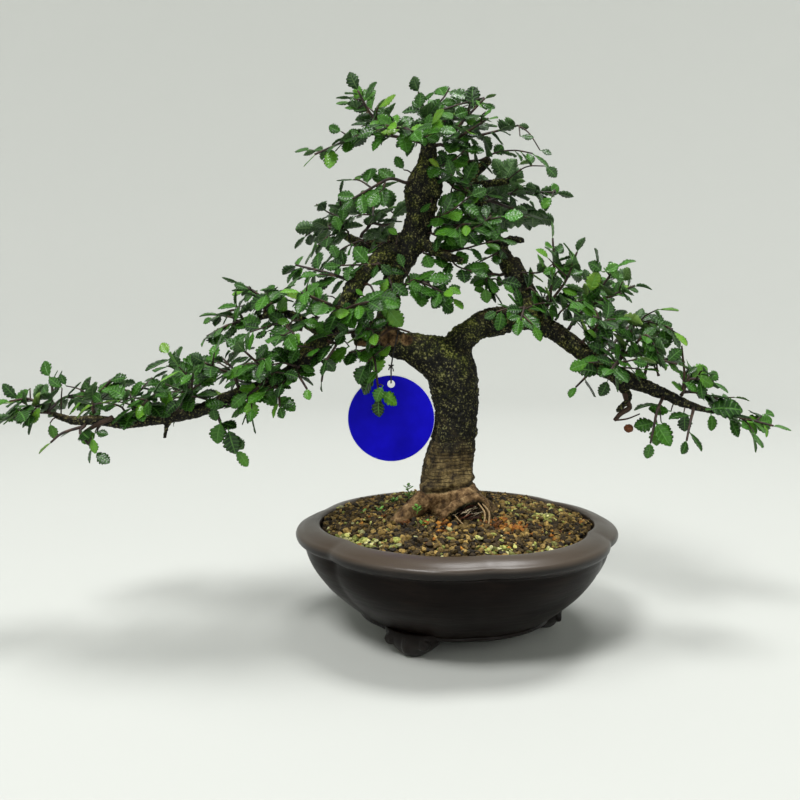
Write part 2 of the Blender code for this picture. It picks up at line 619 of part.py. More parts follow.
def twig_routes(limb, stems, wood_tree):
    """Routes of a spray's twigs: the first leaves the limb, and the others leave the first."""
    first = Vector(stems[0][0])
    seat, normal = seat_on_wood(LIMBS[limb], first, wood_tree)
    keys = bend_clear([seat, seat + normal * FIRST_REACH] + [Vector(p) for p in stems[0]], wood_tree)
    route = smooth_route([(*p, 0.0) for p in keys[1:]], TWIG_STEP)
    carrier = [Vector((*keys[0], 0.0))] + route
    routes = [tapered(carrier, TWIG_BASE_RADIUS)]
    for stem in stems[1:]:
        target = Vector(stem[0])
        foot = min(carrier[1:-1],
                   key=lambda p: (p.xyz - target).length + NEAR_SEAT * (p.xyz - seat).length)
        branch = bend_clear([foot.xyz, foot.xyz] + [Vector(p) for p in stem], wood_tree)[1:]
        route = smooth_route([(*p, 0.0) for p in branch], TWIG_STEP)
        routes.append(tapered(route, TWIG_BASE_RADIUS * FORK_RADIUS))
    return routes


def along_route(route, distance):
    """The place and direction at a distance along a route."""
    for start, end in zip(route, route[1:]):
        a, b = Vector(start[:3]), Vector(end[:3])
        span = (b - a).length
        if distance <= span or end is route[-1]:
            return a + (b - a) * min(1.0, distance / span), (b - a).normalized()
        distance -= span


def route_length(route):
    return sum((Vector(b[:3]) - Vector(a[:3])).length for a, b in zip(route, route[1:]))


class Clearance:
    """What is already in place, to keep each new leaf out of it."""

    def __init__(self, fixed):
        self.fixed = fixed
        self.placed = []

    def add(self, owner, kind, tree, centre, reach):
        self.placed.append((owner, kind, tree, centre, reach))

    def is_free(self, owner, tree, centre, reach):
        for other in self.fixed:
            if tree.overlap(other):
                return False
        for other_owner, kind, other, middle, size in self.placed:
            if other_owner == owner and kind == "twig":
                continue
            if (middle - centre).length < reach + size and tree.overlap(other):
                return False
        return True


def leaf_guard(length, matrix):
    """The room a leaf needs: a coarse, thicker blade without its root."""
    outline = [(GUARD_STALK[0] * length, GUARD_STALK[1])]
    outline += [(along * length, across * length) for along, across in GUARD_SIDE]
    shape = bmesh.new()
    edge = outline + [(GUARD_TIP * length, 0.0)] + [(a, -c) for a, c in reversed(outline)]
    rim = [shape.verts.new((a, c, LEAF_FOLD * abs(c) - LEAF_DROOP * length * (a / length) ** 2))
           for a, c in edge]
    for lift in (GUARD_THICK, -GUARD_THICK):
        rib = shape.verts.new((0.5 * length, 0.0, lift - LEAF_DROOP * length * 0.25))
        for i, start in enumerate(rim):
            shape.faces.new((start, rim[(i + 1) % len(rim)], rib))
    shape.transform(matrix)
    for vert in shape.verts:
        vert.co *= MM
    tree = BVHTree.FromBMesh(shape)
    shape.free()
    return tree


def grow_leaves(owner, route, clearance, draw):
    """Leaves along one twig, in two ranks, with one more at its tip."""
    total = route_length(route)
    places = []
    distance = FIRST_LEAF
    while distance < total - LAST_LEAF:
        places.append(distance)
        distance += LEAF_SPACING * draw.uniform(0.9, 1.1)
    places.append(total - TIP_LEAF[0])
    shapes = []
    rank = draw.choice((-1, 1))
    for order, distance in enumerate(places):
        point, along = along_route(route, distance)
        at_tip = order == len(places) - 1
        rank = -rank
        length = draw.uniform(*LEAF_LENGTH) * (TIP_LEAF[1] if at_tip else 1.0)
        outward = Vector((point.x / 2, point.y - CROWN_MIDDLE, 0.0)).normalized()
        for attempt in range(LEAF_TRIES):
            chance = Vector([draw.uniform(-FACE_CHANCE, FACE_CHANCE) for _ in range(3)])
            sky = (Vector((0, 0, FACE_UP)) + outward * FACE_OUT + chance).normalized()
            side = along.cross(sky).normalized() * rank
            if attempt > SAME_SIDE_TRIES:
                side = -side
            lean = Vector((0, 0, draw.uniform(*POINT_LEAN)))
            if at_tip:
                heading = along + side * TIP_SIDE + lean
            else:
                heading = along * draw.uniform(*POINT_ALONG) + side * POINT_SIDE + lean
            heading.normalize()
            matrix = leaf_matrix(point, heading, sky)
            centre = matrix @ Vector((length * 0.5, 0, 0)) * MM
            reach = length * GUARD_REACH * MM
            guard = leaf_guard(length, matrix)
            if clearance.is_free(owner, guard, centre, reach):
                shape = leaf_shape(length, LEAF_THICK, leaf_outline(length))
                shape.transform(matrix)
                for vert in shape.verts:
                    vert.co *= MM
                clearance.add(owner, "leaf", guard, centre, reach)
                shapes.append(shape)
                break
    return shapes


def shape_to_object(name, shape):
    mesh = bpy.data.meshes.new(name)
    shape.to_mesh(mesh)
    shape.free()
    piece = bpy.data.objects.new(name, mesh)
    bpy.context.scene.collection.objects.link(piece)
    return piece


def make_sprays(fixed, wood_tree, stand, parts):
    """Every leafy spray: its twigs first, then the leaves that find room, all joined in one."""
    clearance = Clearance(fixed)
    twigs = {}
    routes = {}
    for name, (limb, stems) in SPRAYS.items():
        routes[name] = twig_routes(limb, stems, wood_tree)
        twigs[name] = [tube(name + "_twig", route, 0) for route in routes[name]]
        for route, piece in zip(routes[name], twigs[name]):
            middle = sum((Vector(p[:3]) for p in route), Vector()) / len(route)
            reach = max((Vector(p[:3]) - middle).length for p in route) + 2.0
            clearance.add(name, "twig", tree_of(piece), middle * MM, reach * MM)
    for number, name in enumerate(SPRAYS):
        draw = random.Random(LEAF_SEED + number)
        leaves = []
        for route in routes[name]:
            for shape in grow_leaves(name, route, clearance, draw):
                leaves.append(shape_to_object(name + "_leaf", shape))
        spray = combine(twigs[name][0], twigs[name][1:] + leaves, "UNION")
        finish(spray, name, "leaf", stand, parts)


def make_tag():
    """A thin upright disc with a hole near its top."""
    bpy.ops.mesh.primitive_cylinder_add(vertices=36, radius=TAG_RADIUS * MM, depth=TAG_THICK * MM,
                                        location=mm(*TAG_CENTRE), rotation=(math.pi / 2, 0, 0))
    disc = bpy.context.object
    x, y, z = TAG_CENTRE
    bpy.ops.mesh.primitive_cylinder_add(vertices=10, radius=TAG_HOLE_RADIUS * MM, depth=6 * MM,
                                        location=mm(x, y, z + TAG_HOLE_UP), rotation=(math.pi / 2, 0, 0))
    return combine(disc, [bpy.context.object], "DIFFERENCE")


def make_thread(wood_tree):
    """A thread tied round the left limb, knotted under it, and looped through the tag."""
    centre = Vector(LOOP_CENTRE)
    loop = [(*KNOT, THREAD_RADIUS)]
    for i in range(LOOP_POINTS):
        angle = math.radians(LOOP_HALF_TURN * (2 * i / (LOOP_POINTS - 1) - 1))
        out = Vector((LOOP_LEAN * math.cos(angle), math.sin(angle), math.cos(angle))).normalized()
        bark, _, _, _ = wood_tree.ray_cast((centre + out * 20.0) * MM, -out)
        loop.append((*(bark / MM + out * (GAP + THREAD_RADIUS * 2.0)), THREAD_RADIUS))
    limb_loop = tube("limb_loop", loop, 0, ring=True)
    x, y, z = TAG_CENTRE
    hole = z + TAG_HOLE_UP
    drop = [(*KNOT, THREAD_RADIUS)]
    for side, up in TAG_LOOP:
        drop.append((x, y + side, hole + up, THREAD_RADIUS))
    tag_loop = tube("tag_loop", drop, 0, ring=True)
    bpy.ops.mesh.primitive_ico_sphere_add(subdivisions=1, radius=KNOT_RADIUS * MM, location=mm(*KNOT))
    return combine(bpy.context.object, [limb_loop, tag_loop], "UNION")


def build():
    clear_scene()
    parts = new_collection(TREE)
    stand = bpy.data.objects.new("stand", None)
    stand.location = mm(*POT_PLACE)
    parts.objects.link(stand)
    pot = make_pot()
    wood = make_wood()
    soil = make_soil()
    wood_tree = tree_of(wood)
    tag = make_tag()
    thread = make_thread(wood_tree)
    fixed = [wood_tree] + [tree_of(piece) for piece in (soil, pot, tag, thread)]
    make_sprays(fixed, wood_tree, stand, parts)
    finish(pot, "pot", "pot", stand, parts, 40)
    finish(soil, "soil", "soil", stand, parts)
    finish(wood, "wood", "wood", stand, parts, 50)
    finish(tag, "tag", "tag", stand, parts, 40)
    finish(thread, "tag_thread", "thread", stand, parts, 40)
    for side, name in ((-1, "drain_mesh_left"), (1, "drain_mesh_right")):
        finish(make_drain_mesh(side), name, "drain_mesh", stand, parts)

build()
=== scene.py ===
"""Chinese elm bonsai in a lobed clay pot: clay, bark, soil, leaves and tag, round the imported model."""
import math
import random

import bmesh
import bpy
import numpy as np
from mathutils import Matrix, Vector, noise
from mathutils.bvhtree import BVHTree


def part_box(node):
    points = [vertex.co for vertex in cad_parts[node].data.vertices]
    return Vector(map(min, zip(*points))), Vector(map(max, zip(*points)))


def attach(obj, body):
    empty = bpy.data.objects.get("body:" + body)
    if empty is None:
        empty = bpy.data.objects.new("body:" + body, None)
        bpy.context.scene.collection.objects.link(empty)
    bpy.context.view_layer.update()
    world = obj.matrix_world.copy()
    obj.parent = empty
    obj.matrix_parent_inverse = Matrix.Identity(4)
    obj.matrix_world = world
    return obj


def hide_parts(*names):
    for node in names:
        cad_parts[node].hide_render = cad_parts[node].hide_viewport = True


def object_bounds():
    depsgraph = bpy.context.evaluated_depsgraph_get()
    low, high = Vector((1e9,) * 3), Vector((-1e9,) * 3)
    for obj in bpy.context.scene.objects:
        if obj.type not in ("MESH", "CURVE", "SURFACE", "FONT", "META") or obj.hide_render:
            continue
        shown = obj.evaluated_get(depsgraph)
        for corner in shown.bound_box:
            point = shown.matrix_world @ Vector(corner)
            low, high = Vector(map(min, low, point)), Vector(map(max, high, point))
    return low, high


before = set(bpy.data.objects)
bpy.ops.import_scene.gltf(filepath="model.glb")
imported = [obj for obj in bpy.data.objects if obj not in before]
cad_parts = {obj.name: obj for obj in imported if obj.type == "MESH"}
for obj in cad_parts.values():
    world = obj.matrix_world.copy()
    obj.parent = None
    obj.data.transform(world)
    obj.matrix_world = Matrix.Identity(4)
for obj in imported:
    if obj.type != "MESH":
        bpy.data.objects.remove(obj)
cad_box = [list(corner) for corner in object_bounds()]

# Pot: one piece of unglazed brown stoneware, pressed in a mould with six shallow lobes, a rolled lip
# and three cloud feet, then wiped and fired. It stands on its feet, and its floor has two drain holes.
MM = 0.001
LOBES = 6
LOBE_ANGLE = math.radians(7.5)
NOTCH_POWER = 1.8
BODY_NOTCH = 0.024
LIP_NOTCH = 0.042
LIP_BOTTOM = 53.0
LIP_BLEND = (6.0, 8.0)
POT_LIP = [(80.3, 60.0), (80.6, 63.6), (81.6, 64.8), (83.4, 65.0), (86.4, 64.5), (89.4, 63.4), (91.8, 62.0),
           (93.9, 60.9), (94.8, 59.0), (94.2, 56.7), (92.4, 55.1), (90.4, 54.2), (89.7, 52.6)]
POT_BODY = [(89.4, 51.0), (87.6, 45.6), (84.2, 39.0), (77.9, 30.8), (70.5, 23.6), (63.0, 17.2), (58.2, 13.6)]
POT_BEAD = [(57.6, 12.9), (58.0, 11.9), (57.2, 11.0), (55.4, 10.4), (52.0, 8.6), (48.0, 8.0)]
POT_HOLLOW = [(48.0, 16.0), (74.0, 39.0)]
POT_STEPS = 228
FEET = 3
FOOT_RADIUS = 52.0
FOOT_RINGS = [(14.8, 17.0, 10.6), (11.5, 17.0, 10.4), (8.6, 16.0, 10.2), (6.2, 14.0, 9.7), (4.2, 11.6, 8.9),
              (2.4, 9.2, 7.8), (1.1, 7.3, 6.6), (0.3, 5.9, 5.5), (0.0, 4.6, 4.4)]
SCROLL_PLACE = (10.6, 9.2, 7.4)
SCROLL_RADIUS = 3.6
SCROLL_TUBE = 1.05
SCROLL_TURNS = 1.5
SCROLL_BOSS = 1.7
DRAIN_PLACE = 24.0
DRAIN_RADIUS = 9.0

pot_low, pot_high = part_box("pot")
POT_MIDDLE = Vector(((pot_low.x + pot_high.x) / 2, (pot_low.y + pot_high.y) / 2, 0.0))


def smooth_through(points, step):
    """Points about a step apart on a smooth curve through the given ones, of any number of values."""
    keys = [np.array(p, float) for p in points]
    keys = [keys[0] * 2 - keys[1]] + keys + [keys[-1] * 2 - keys[-2]]
    route = []
    for a, b, c, d in zip(keys, keys[1:], keys[2:], keys[3:]):
        parts = max(1, round(float(np.linalg.norm((c - b)[:3])) / step))
        for i in range(parts):
            t = i / parts
            route.append(0.5 * (2 * b + (c - a) * t + (2 * a - 5 * b + 4 * c - d) * t * t
                                + (3 * b - a - 3 * c + d) * t ** 3))
    route.append(keys[-2])
    return np.array(route)


def loose_object(name, points, faces):
    """A mesh object for shaping, before it is a piece."""
    mesh = bpy.data.meshes.new(name)
    mesh.from_pydata([tuple(p) for p in points], [], faces)
    loose = bpy.data.objects.new(name, mesh)
    bpy.context.scene.collection.objects.link(loose)
    return loose


def true_size(name, points, faces, material, smooth=True):
    """A mesh object with its material, from points in millimetres from the pot's middle."""
    places = np.asarray(points, float) * MM + np.array(POT_MIDDLE)
    made = loose_object(name, places.tolist(), faces)
    if smooth:
        made.data.shade_smooth()
    made.data.materials.append(material)
    return made


def new_piece(name, points, faces, material, replaced=(), smooth=True):
    """A piece on the root body, standing for the named CAD nodes."""
    piece = true_size(name, points, faces, material, smooth)
    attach(piece, "root")
    if replaced:
        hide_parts(*replaced)
    return piece


def bake_modifiers(piece):
    """Give a piece the mesh that its modifiers make, and drop them."""
    graph = bpy.context.evaluated_depsgraph_get()
    mesh = bpy.data.meshes.new_from_object(piece.evaluated_get(graph))
    piece.modifiers.clear()
    piece.data = mesh
    return piece


def mesh_arrays(piece):
    """A mesh object's points and faces, and the object is dropped."""
    points = np.empty(len(piece.data.vertices) * 3)
    piece.data.vertices.foreach_get("co", points)
    faces = [tuple(face.vertices) for face in piece.data.polygons]
    bpy.data.objects.remove(piece)
    return points.reshape(-1, 3), faces


def bands(rings, around, start=0):
    """Faces between rings of points that lie one after the other."""
    return [(low + i, low + around + i, low + around + (i + 1) % around, low + (i + 1) % around)
            for low in range(start, start + (rings - 1) * around, around) for i in range(around)]


def turned(profile, steps, shift):
    """Points and faces of a solid turned from a profile that starts and ends on the axis."""
    angles = np.arange(steps) * 2 * math.pi / steps
    points = [(0.0, 0.0, profile[0][1])]
    for radius, height in profile[1:-1]:
        for angle in angles:
            points.append(shift(radius, angle, height))
    points.append((0.0, 0.0, profile[-1][1]))
    faces = [(0, 1 + i, 1 + (i + 1) % steps) for i in range(steps)]
    faces += bands(len(profile) - 2, steps, 1)
    last = 1 + (len(profile) - 3) * steps
    faces += [(last + (i + 1) % steps, last + i, len(points) - 1) for i in range(steps)]
    return points, faces


def tube(route, sides, ring=False, twist=0.0, squeeze=0.0):
    """Points and faces of a tapered tube through (x, y, z, radius) points."""
    route = np.asarray(route, float)
    count = len(route)
    middles = route[:, :3]
    if ring:
        ahead = np.roll(middles, -1, 0) - np.roll(middles, 1, 0)
    else:
        ahead = np.gradient(middles, axis=0)
    ahead /= np.linalg.norm(ahead, axis=1)[:, None] + 1e-9
    start = np.cross(ahead[0], (0.3, 1.0, 0.2))
    sideways = [start / np.linalg.norm(start)]
    for i in range(1, count):
        across = sideways[-1] - ahead[i] * np.dot(sideways[-1], ahead[i])
        sideways.append(across / np.linalg.norm(across))
    points = []
    for i in range(count):
        other = np.cross(ahead[i], sideways[i])
        for k in range(sides):
            angle = 2 * math.pi * k / sides
            size = route[i][3] * (1.0 - squeeze * (0.5 + 0.5 * math.cos(2 * angle + twist * i)))
            points.append(middles[i] + size * (math.cos(angle) * sideways[i] + math.sin(angle) * other))
    faces = []
    for i in range(count if ring else count - 1):
        low, high = i * sides, (i + 1) % count * sides
        faces += [(low + k, low + (k + 1) % sides, high + (k + 1) % sides, high + k) for k in range(sides)]
    if not ring:
        faces.append(tuple(range(sides))[::-1])
        faces.append(tuple(range((count - 1) * sides, count * sides)))
    return points, faces


def ball(subdivisions):
    """Points and faces of a ball with a radius of one."""
    shape = bmesh.new()
    bmesh.ops.create_icosphere(shape, subdivisions=subdivisions, radius=1.0)
    points = np.array([tuple(v.co) for v in shape.verts])
    faces = [tuple(v.index for v in face.verts) for face in shape.faces]
    shape.free()
    return points, faces


def join(shapes):
    """Several (points, faces) as one."""
    points, faces = [], []
    for some_points, some_faces in shapes:
        start = len(points)
        points.extend([tuple(p) for p in some_points])
        faces.extend([tuple(start + i for i in face) for face in some_faces])
    return points, faces


def combine(base, other, operation):
    """Add one object to another or cut it out, and drop it."""
    step = base.modifiers.new("combine", "BOOLEAN")
    step.operation = operation
    step.solver = "MANIFOLD"
    step.object = other
    bake_modifiers(base)
    bpy.data.objects.remove(other)
    return base


def linear(colour):
    """A colour written as sRGB hex, turned to linear red, green and blue."""
    values = [int(colour[i:i + 2], 16) / 255 for i in (1, 3, 5)]
    return tuple(v / 12.92 if v <= 0.04045 else ((v + 0.055) / 1.055) ** 2.4 for v in values) + (1.0,)


def link(material, value, socket):
    """Set a socket to a value, or join it to an output, or to the first output of a node."""
    if isinstance(value, bpy.types.Node):
        value = next(output for output in value.outputs if output.enabled)
    if isinstance(value, bpy.types.NodeSocket):
        material.node_tree.links.new(value, socket)
    else:
        socket.default_value = value


def node(material, kind, given=None):
    """Add one shader node. What is given in small letters is a setting, and the rest are its sockets."""
    made = material.node_tree.nodes.new("ShaderNode" + kind)
    for name, value in (given or {}).items():
        if isinstance(name, str) and name.islower():
            setattr(made, name, value)
        else:
            link(material, value, made.inputs[name])
    return made


def marks_of(size):
    """The scale of a pattern whose marks are a size across, in millimetres."""
    return 1.0 / (size * MM)


def ramp(material, factor, stops):
    """A colour ramp of (place, colour) stops, read at a factor."""
    made = node(material, "ValToRGB", {"Fac": factor})
    bar = made.color_ramp
    while len(bar.elements) < len(stops):
        bar.elements.new(0.5)
    for element, (place, colour) in zip(bar.elements, stops):
        element.position = place
        element.color = linear(colour) if isinstance(colour, str) else (colour, colour, colour, 1.0)
    return made


def new_material(name):
    """A new material, and the place on the piece in metres that its patterns are drawn by."""
    material = bpy.data.materials.new(name)
    material.use_nodes = True
    return material, node(material, "TexCoord").outputs["Object"]


def finish_material(material, **sockets):
    """Set or join the named sockets of a material's Principled shader."""
    shader = material.node_tree.nodes["Principled BSDF"]
    for socket, value in sockets.items():
        link(material, value, shader.inputs[socket.replace("_", " ")])
    return material


def crease_at(angle):
    return (1.0 - abs(math.cos(LOBES / 2 * (angle - LOBE_ANGLE)))) ** NOTCH_POWER


def pot_point(radius, angle, height):
    """A point on the pot: drawn in at the creases between the lobes, and uneven by hand finishing."""
    lip = min(1.0, max(0.0, (height - LIP_BOTTOM + LIP_BLEND[0]) / LIP_BLEND[1]))
    factor = 1.0 - (BODY_NOTCH + (LIP_NOTCH - BODY_NOTCH) * lip) * crease_at(angle)
    place = Vector((math.cos(angle), math.sin(angle), height * 0.02))
    uneven = 0.0 if height < 9.0 or radius < 79.0 else 0.35 * (noise.noise(place * 3.1) - 0.4)
    radius = radius * factor + uneven
    return radius * math.cos(angle), radius * math.sin(angle), height


def cloud_foot(angle):
    """One foot: a block that narrows down to a round sole, with a scroll on each shoulder."""
    rings = smooth_through(FOOT_RINGS, 1.1)
    sole = 48
    shapes = []
    points = [(depth * math.cos(a), width * math.sin(a), height)
              for height, width, depth in rings for a in np.arange(sole) * 2 * math.pi / sole]
    faces = [tuple(range(sole)), tuple(range((len(rings) - 1) * sole, len(rings) * sole))[::-1]]
    faces += bands(len(rings), sole)
    shapes.append((points, faces))
    across, height, depth = SCROLL_PLACE
    for side in (-1, 1):
        scroll = []
        for i in range(40):
            turn = i / 39
            a = math.pi * (0.45 + 2 * SCROLL_TURNS * turn)
            size = SCROLL_RADIUS * (1.0 - 0.75 * turn)
            scroll.append((depth + 1.2 * turn + 0.3, side * (across + size * math.cos(a)),
                           height + size * math.sin(a) * 0.92, SCROLL_TUBE * (1.0 - 0.2 * turn)))
        shapes.append(tube(scroll, 10))
        boss, boss_faces = ball(2)
        boss = boss * (SCROLL_BOSS, SCROLL_RADIUS, SCROLL_RADIUS) + (depth - 0.2, side * across, height)
        shapes.append((boss, boss_faces))
    ridge = [(9.2, 0.0, 12.0, 1.6), (9.6, 0.0, 8.0, 2.0), (8.0, 0.0, 4.6, 2.2), (6.0, 0.0, 2.4, 1.8)]
    shapes.append(tube(smooth_through(ridge, 1.0), 10))
    points, faces = join(shapes)
    foot = loose_object("foot", points, faces)
    remesh = foot.modifiers.new("merge", "REMESH")
    remesh.mode = "VOXEL"
    remesh.voxel_size = 0.62
    soften = foot.modifiers.new("soften", "SMOOTH")
    soften.factor = 0.5
    soften.iterations = 3
    bake_modifiers(foot)
    foot.data.transform(Matrix.Rotation(angle, 4, "Z") @ Matrix.Translation((FOOT_RADIUS, 0.0, 0.0)))
    for vertex in foot.data.vertices:
        vertex.co.z = max(vertex.co.z, 0.0)
    return foot


def fired_clay():
    """Dark unglazed stoneware: satin, with wipe marks and a greyer lip, partly dust and partly painted light
    on its upward faces.

    Its grit is drawn half a millimetre wide, coarser than the real one, so that it shows."""
    material, place = new_material("fired_stoneware")
    blotch = node(material, "TexNoise", {"Vector": place, "Scale": marks_of(26.3), "Detail": 4.0})
    stretched = node(material, "Mapping", {"Vector": place, "Scale": (1.0, 1.0, 7.0)})
    wipes = node(material, "TexNoise", {"Vector": stretched, "Scale": marks_of(16.67), "Detail": 5.0})
    grit = node(material, "TexNoise", {"Vector": place, "Scale": marks_of(0.526), "Detail": 2.0})
    tone = node(material, "Math", {"operation": "ADD", 0: blotch, 1: wipes})
    half = node(material, "Math", {"operation": "MULTIPLY", 0: tone, 1: 0.5})
    clay = ramp(material, half, [(0.3, "#090605"), (0.5, "#100b09"), (0.68, "#1b1410")])
    height = node(material, "SeparateXYZ", {"Vector": place}).outputs["Z"]
    normal = node(material, "NewGeometry").outputs["Normal"]
    up = node(material, "SeparateXYZ", {"Vector": normal}).outputs["Z"]
    # Painted light: the lip's upward faces are mixed towards a pale grey, partly a film of dust and partly
    # light from above painted on.
    at_lip = node(material, "MapRange", {"Value": height, "From Min": 0.053, "From Max": 0.060})
    facing = node(material, "MapRange", {"Value": up, "From Min": -0.1, "From Max": 0.8})
    lip_dust_and_painted_light = node(material, "Math", {"operation": "MULTIPLY", 0: at_lip, 1: facing})
    lip_film_and_painted_light = node(material, "Math", {"operation": "MULTIPLY", 0: lip_dust_and_painted_light, 1: 0.8})
    mixed = node(material, "Mix", {"data_type": "RGBA", 0: lip_film_and_painted_light, 6: clay, 7: linear("#4b4137")})
    wet_foot = node(material, "MapRange",
                    {"Value": height, "From Min": 0.006, "From Max": 0.014, "To Min": 1.0, "To Max": 0.0})
    handled = node(material, "Math", {"operation": "MAXIMUM", 0: at_lip, 1: wet_foot})
    sheen = node(material, "MapRange", {"Value": handled, "To Min": 0.06, "To Max": 0.32})
    rough = node(material, "MapRange", {"Value": wipes, "To Min": 0.26, "To Max": 0.42})
    fine = node(material, "Bump", {"Strength": 0.25, "Distance": 0.0002, "Height": grit})
    marks = node(material, "Bump", {"Strength": 0.35, "Distance": 0.0006, "Height": wipes, "Normal": fine})
    return finish_material(material, IOR=1.5, Base_Color=mixed, Specular_IOR_Level=sheen, Roughness=rough,
                           Normal=marks)


def make_pot():
    outline = [(0.0, 16.0)]
    outline += [tuple(p[:2]) for p in smooth_through([(r, z, 0.0) for r, z in POT_HOLLOW], 12.0)]
    outline += [tuple(p[:2]) for p in smooth_through([(r, z, 0.0) for r, z in POT_LIP], 0.9)]
    outline += [tuple(p[:2]) for p in smooth_through([(r, z, 0.0) for r, z in POT_BODY], 2.2)]
    outline += [tuple(p[:2]) for p in smooth_through([(r, z, 0.0) for r, z in POT_BEAD], 0.8)]
    outline.append((0.0, 8.0))
    pot = loose_object("pot_shape", *turned(outline, POT_STEPS, pot_point))
    shape = bmesh.new()
    shape.from_mesh(pot.data)
    bmesh.ops.recalc_face_normals(shape, faces=shape.faces)
    shape.to_mesh(pot.data)
    shape.free()
    for number in range(FEET):
        combine(pot, cloud_foot(number * 2 * math.pi / FEET), "UNION")
    for side in (-1, 1):
        bpy.ops.mesh.primitive_cylinder_add(vertices=40, radius=DRAIN_RADIUS, depth=20.0,
                                            location=(side * DRAIN_PLACE, 0.0, 12.0))
        combine(pot, bpy.context.object, "DIFFERENCE")
    points, faces = mesh_arrays(pot)
    made = new_piece("clay_pot", points, faces, fired_clay(), ["pot"])
    made.data.set_sharp_from_angle(angle=math.radians(50))
    return made


make_pot()


# Drain mesh: two squares of black plastic net over the drain holes, under the soil. They are moulded
# polyethylene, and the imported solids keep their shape.
def moulded_net():
    """Black polyethylene: slightly waxy, with a faint moulded grain of about 0.5 mm."""
    material, place = new_material("black_polyethylene")
    grain = node(material, "TexNoise", {"Vector": place, "Scale": marks_of(0.833), "Detail": 2.0})
    rough = node(material, "MapRange", {"Value": grain, "To Min": 0.35, "To Max": 0.6})
    bump = node(material, "Bump", {"Strength": 0.2, "Distance": 0.0001, "Height": grain})
    return finish_material(material, Base_Color=linear("#161616"), IOR=1.5, Roughness=rough, Normal=bump)


net = moulded_net()
for name in ("drain_mesh_left", "drain_mesh_right"):
    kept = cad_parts[name]
    kept.data.materials.clear()
    kept.data.materials.append(net)

# Wood: the old elm's trunk, roots, fork and limbs, grown as one piece. The bark is grey-brown with fine
# cracks round the trunk, darker and scaly above, with olive moss on what faces the sky. Shade is painted
# on its undersides, in its hollow and cracks and in patches low on the roots, and its brightest specks
# are painted highlights.
TRUNK = [(-4, 0, 52, 16.5), (-4, 0, 69, 17.2), (-5, 0, 78, 16.3), (-6.4, 0, 88, 15.6), (-4.4, 0, 100, 14.5),
         (-1.9, 0, 115, 13.2), (-0.6, 0, 129, 12.8), (-1.2, 0, 140, 13.6), (-3.4, 0, 152, 14.8),
         (-5, 0, 162, 13.0), (-6, 0, 168, 8.0)]
FORK_LEFT = [(-3, 0, 156, 10.0), (-10, -1, 162, 10.6), (-16, -3, 165, 9.0), (-27, -6, 167, 8.3),
             (-36, -8, 169, 7.8), (-41, -8, 174, 6.9), (-42, -6, 181, 5.9), (-40, -3, 190, 5.5)]
LEADER = [(-42, -6, 179, 5.4), (-39, -2, 192, 5.5), (-38, 2, 202, 5.8), (-35, 6, 212, 7.0),
          (-29, 9, 223, 8.2), (-24, 10, 233, 8.8), (-21, 10, 245, 8.7), (-21, 9, 253, 9.8),
          (-20, 8, 260, 10.0), (-18, 8, 269, 7.4), (-17, 8, 276, 5.5), (-17, 8, 284, 4.4),
          (-16, 8, 291, 3.2)]
LEFT = [(-27, 10, 227, 4.8), (-42, 2, 219, 5.2), (-51, -6, 212, 5.1), (-58, -12, 203, 5.4),
        (-63, -17, 192, 5.3), (-70, -21, 180, 5.6), (-78, -24, 171, 5.5), (-85, -26, 164, 5.3),
        (-94, -28, 154, 4.7), (-110, -30, 146, 4.4), (-126, -30, 141, 3.9), (-142, -28, 134, 3.6),
        (-156, -26, 130, 3.3), (-173, -24, 127, 3.1), (-190, -22, 125, 3.2), (-204, -20, 126.6, 3.0),
        (-219, -17, 126, 2.5), (-232, -14, 129.5, 1.6)]
LEFT_UPPER = [(-74, -22, 175, 3.4), (-85, -16, 180, 2.9), (-93, -10, 185, 2.6), (-104, -4, 186, 2.2),
              (-114, 2, 184, 1.8), (-122, 6, 181, 1.4)]
LEFT_BACK = [(-24, 10, 231, 5.0), (-38, 20, 228, 4.8), (-49, 28, 226, 4.2), (-58, 35, 228, 3.4),
             (-67, 41, 233, 2.5), (-75, 46, 237, 1.6)]
RIGHT = [(-4, 0, 157, 10.5), (1, 2, 169, 8.8), (9, 4, 176, 7.4), (17, 6, 182, 7.0), (26, 8, 184, 6.6),
         (37, 9, 183, 6.5), (49, 9, 180, 5.7), (62, 8, 172.4, 5.5), (73, 6, 164, 5.2), (85, 3, 155, 5.3),
         (97, 0, 149, 4.7), (109, -3, 144, 4.1), (119, -6, 140, 3.5), (130, -8, 135, 2.9),
         (139, -10, 132, 2.0), (147, -12, 130, 1.4)]
RISER = [(44, 9, 179, 4.7), (40, 16, 194, 4.8), (35, 22, 206, 4.8), (30, 27, 218, 4.9),
         (24, 31, 229, 5.2), (18, 34, 241, 5.2), (14, 35, 253, 4.9), (10, 34, 264, 3.9),
         (7, 32, 274, 3.0), (5, 30, 283, 2.2), (3, 27, 291, 1.5)]
LIMBS = {"fork_left": FORK_LEFT, "leader": LEADER, "left": LEFT, "left_upper": LEFT_UPPER,
         "left_back": LEFT_BACK, "right": RIGHT, "riser": RISER}
ROOTS = [[(-8, -4, 89, 9.5), (-17, -11, 81, 7.0), (-26, -16, 74.5, 5.4), (-34, -20, 68.5, 4.6),
          (-43, -22, 59, 3.6)],
         [(0, -5, 88, 9.5), (3, -13, 81, 9.0), (4, -18, 74, 9.0), (4, -22, 65, 8.0)],
         [(3, 1, 80, 8.5), (14, 1, 72.5, 6.2), (26, -2, 64.5, 4.4), (38, -6, 55, 3.0)],
         [(-4, 4, 84, 9.0), (-6, 15, 76, 7.2), (-8, 27, 67, 5.2), (-9, 38, 55, 3.2)],
         [(0, 3, 82, 8.0), (10, 12, 74, 6.2), (20, 22, 64, 4.4), (27, 30, 54, 3.0)]]
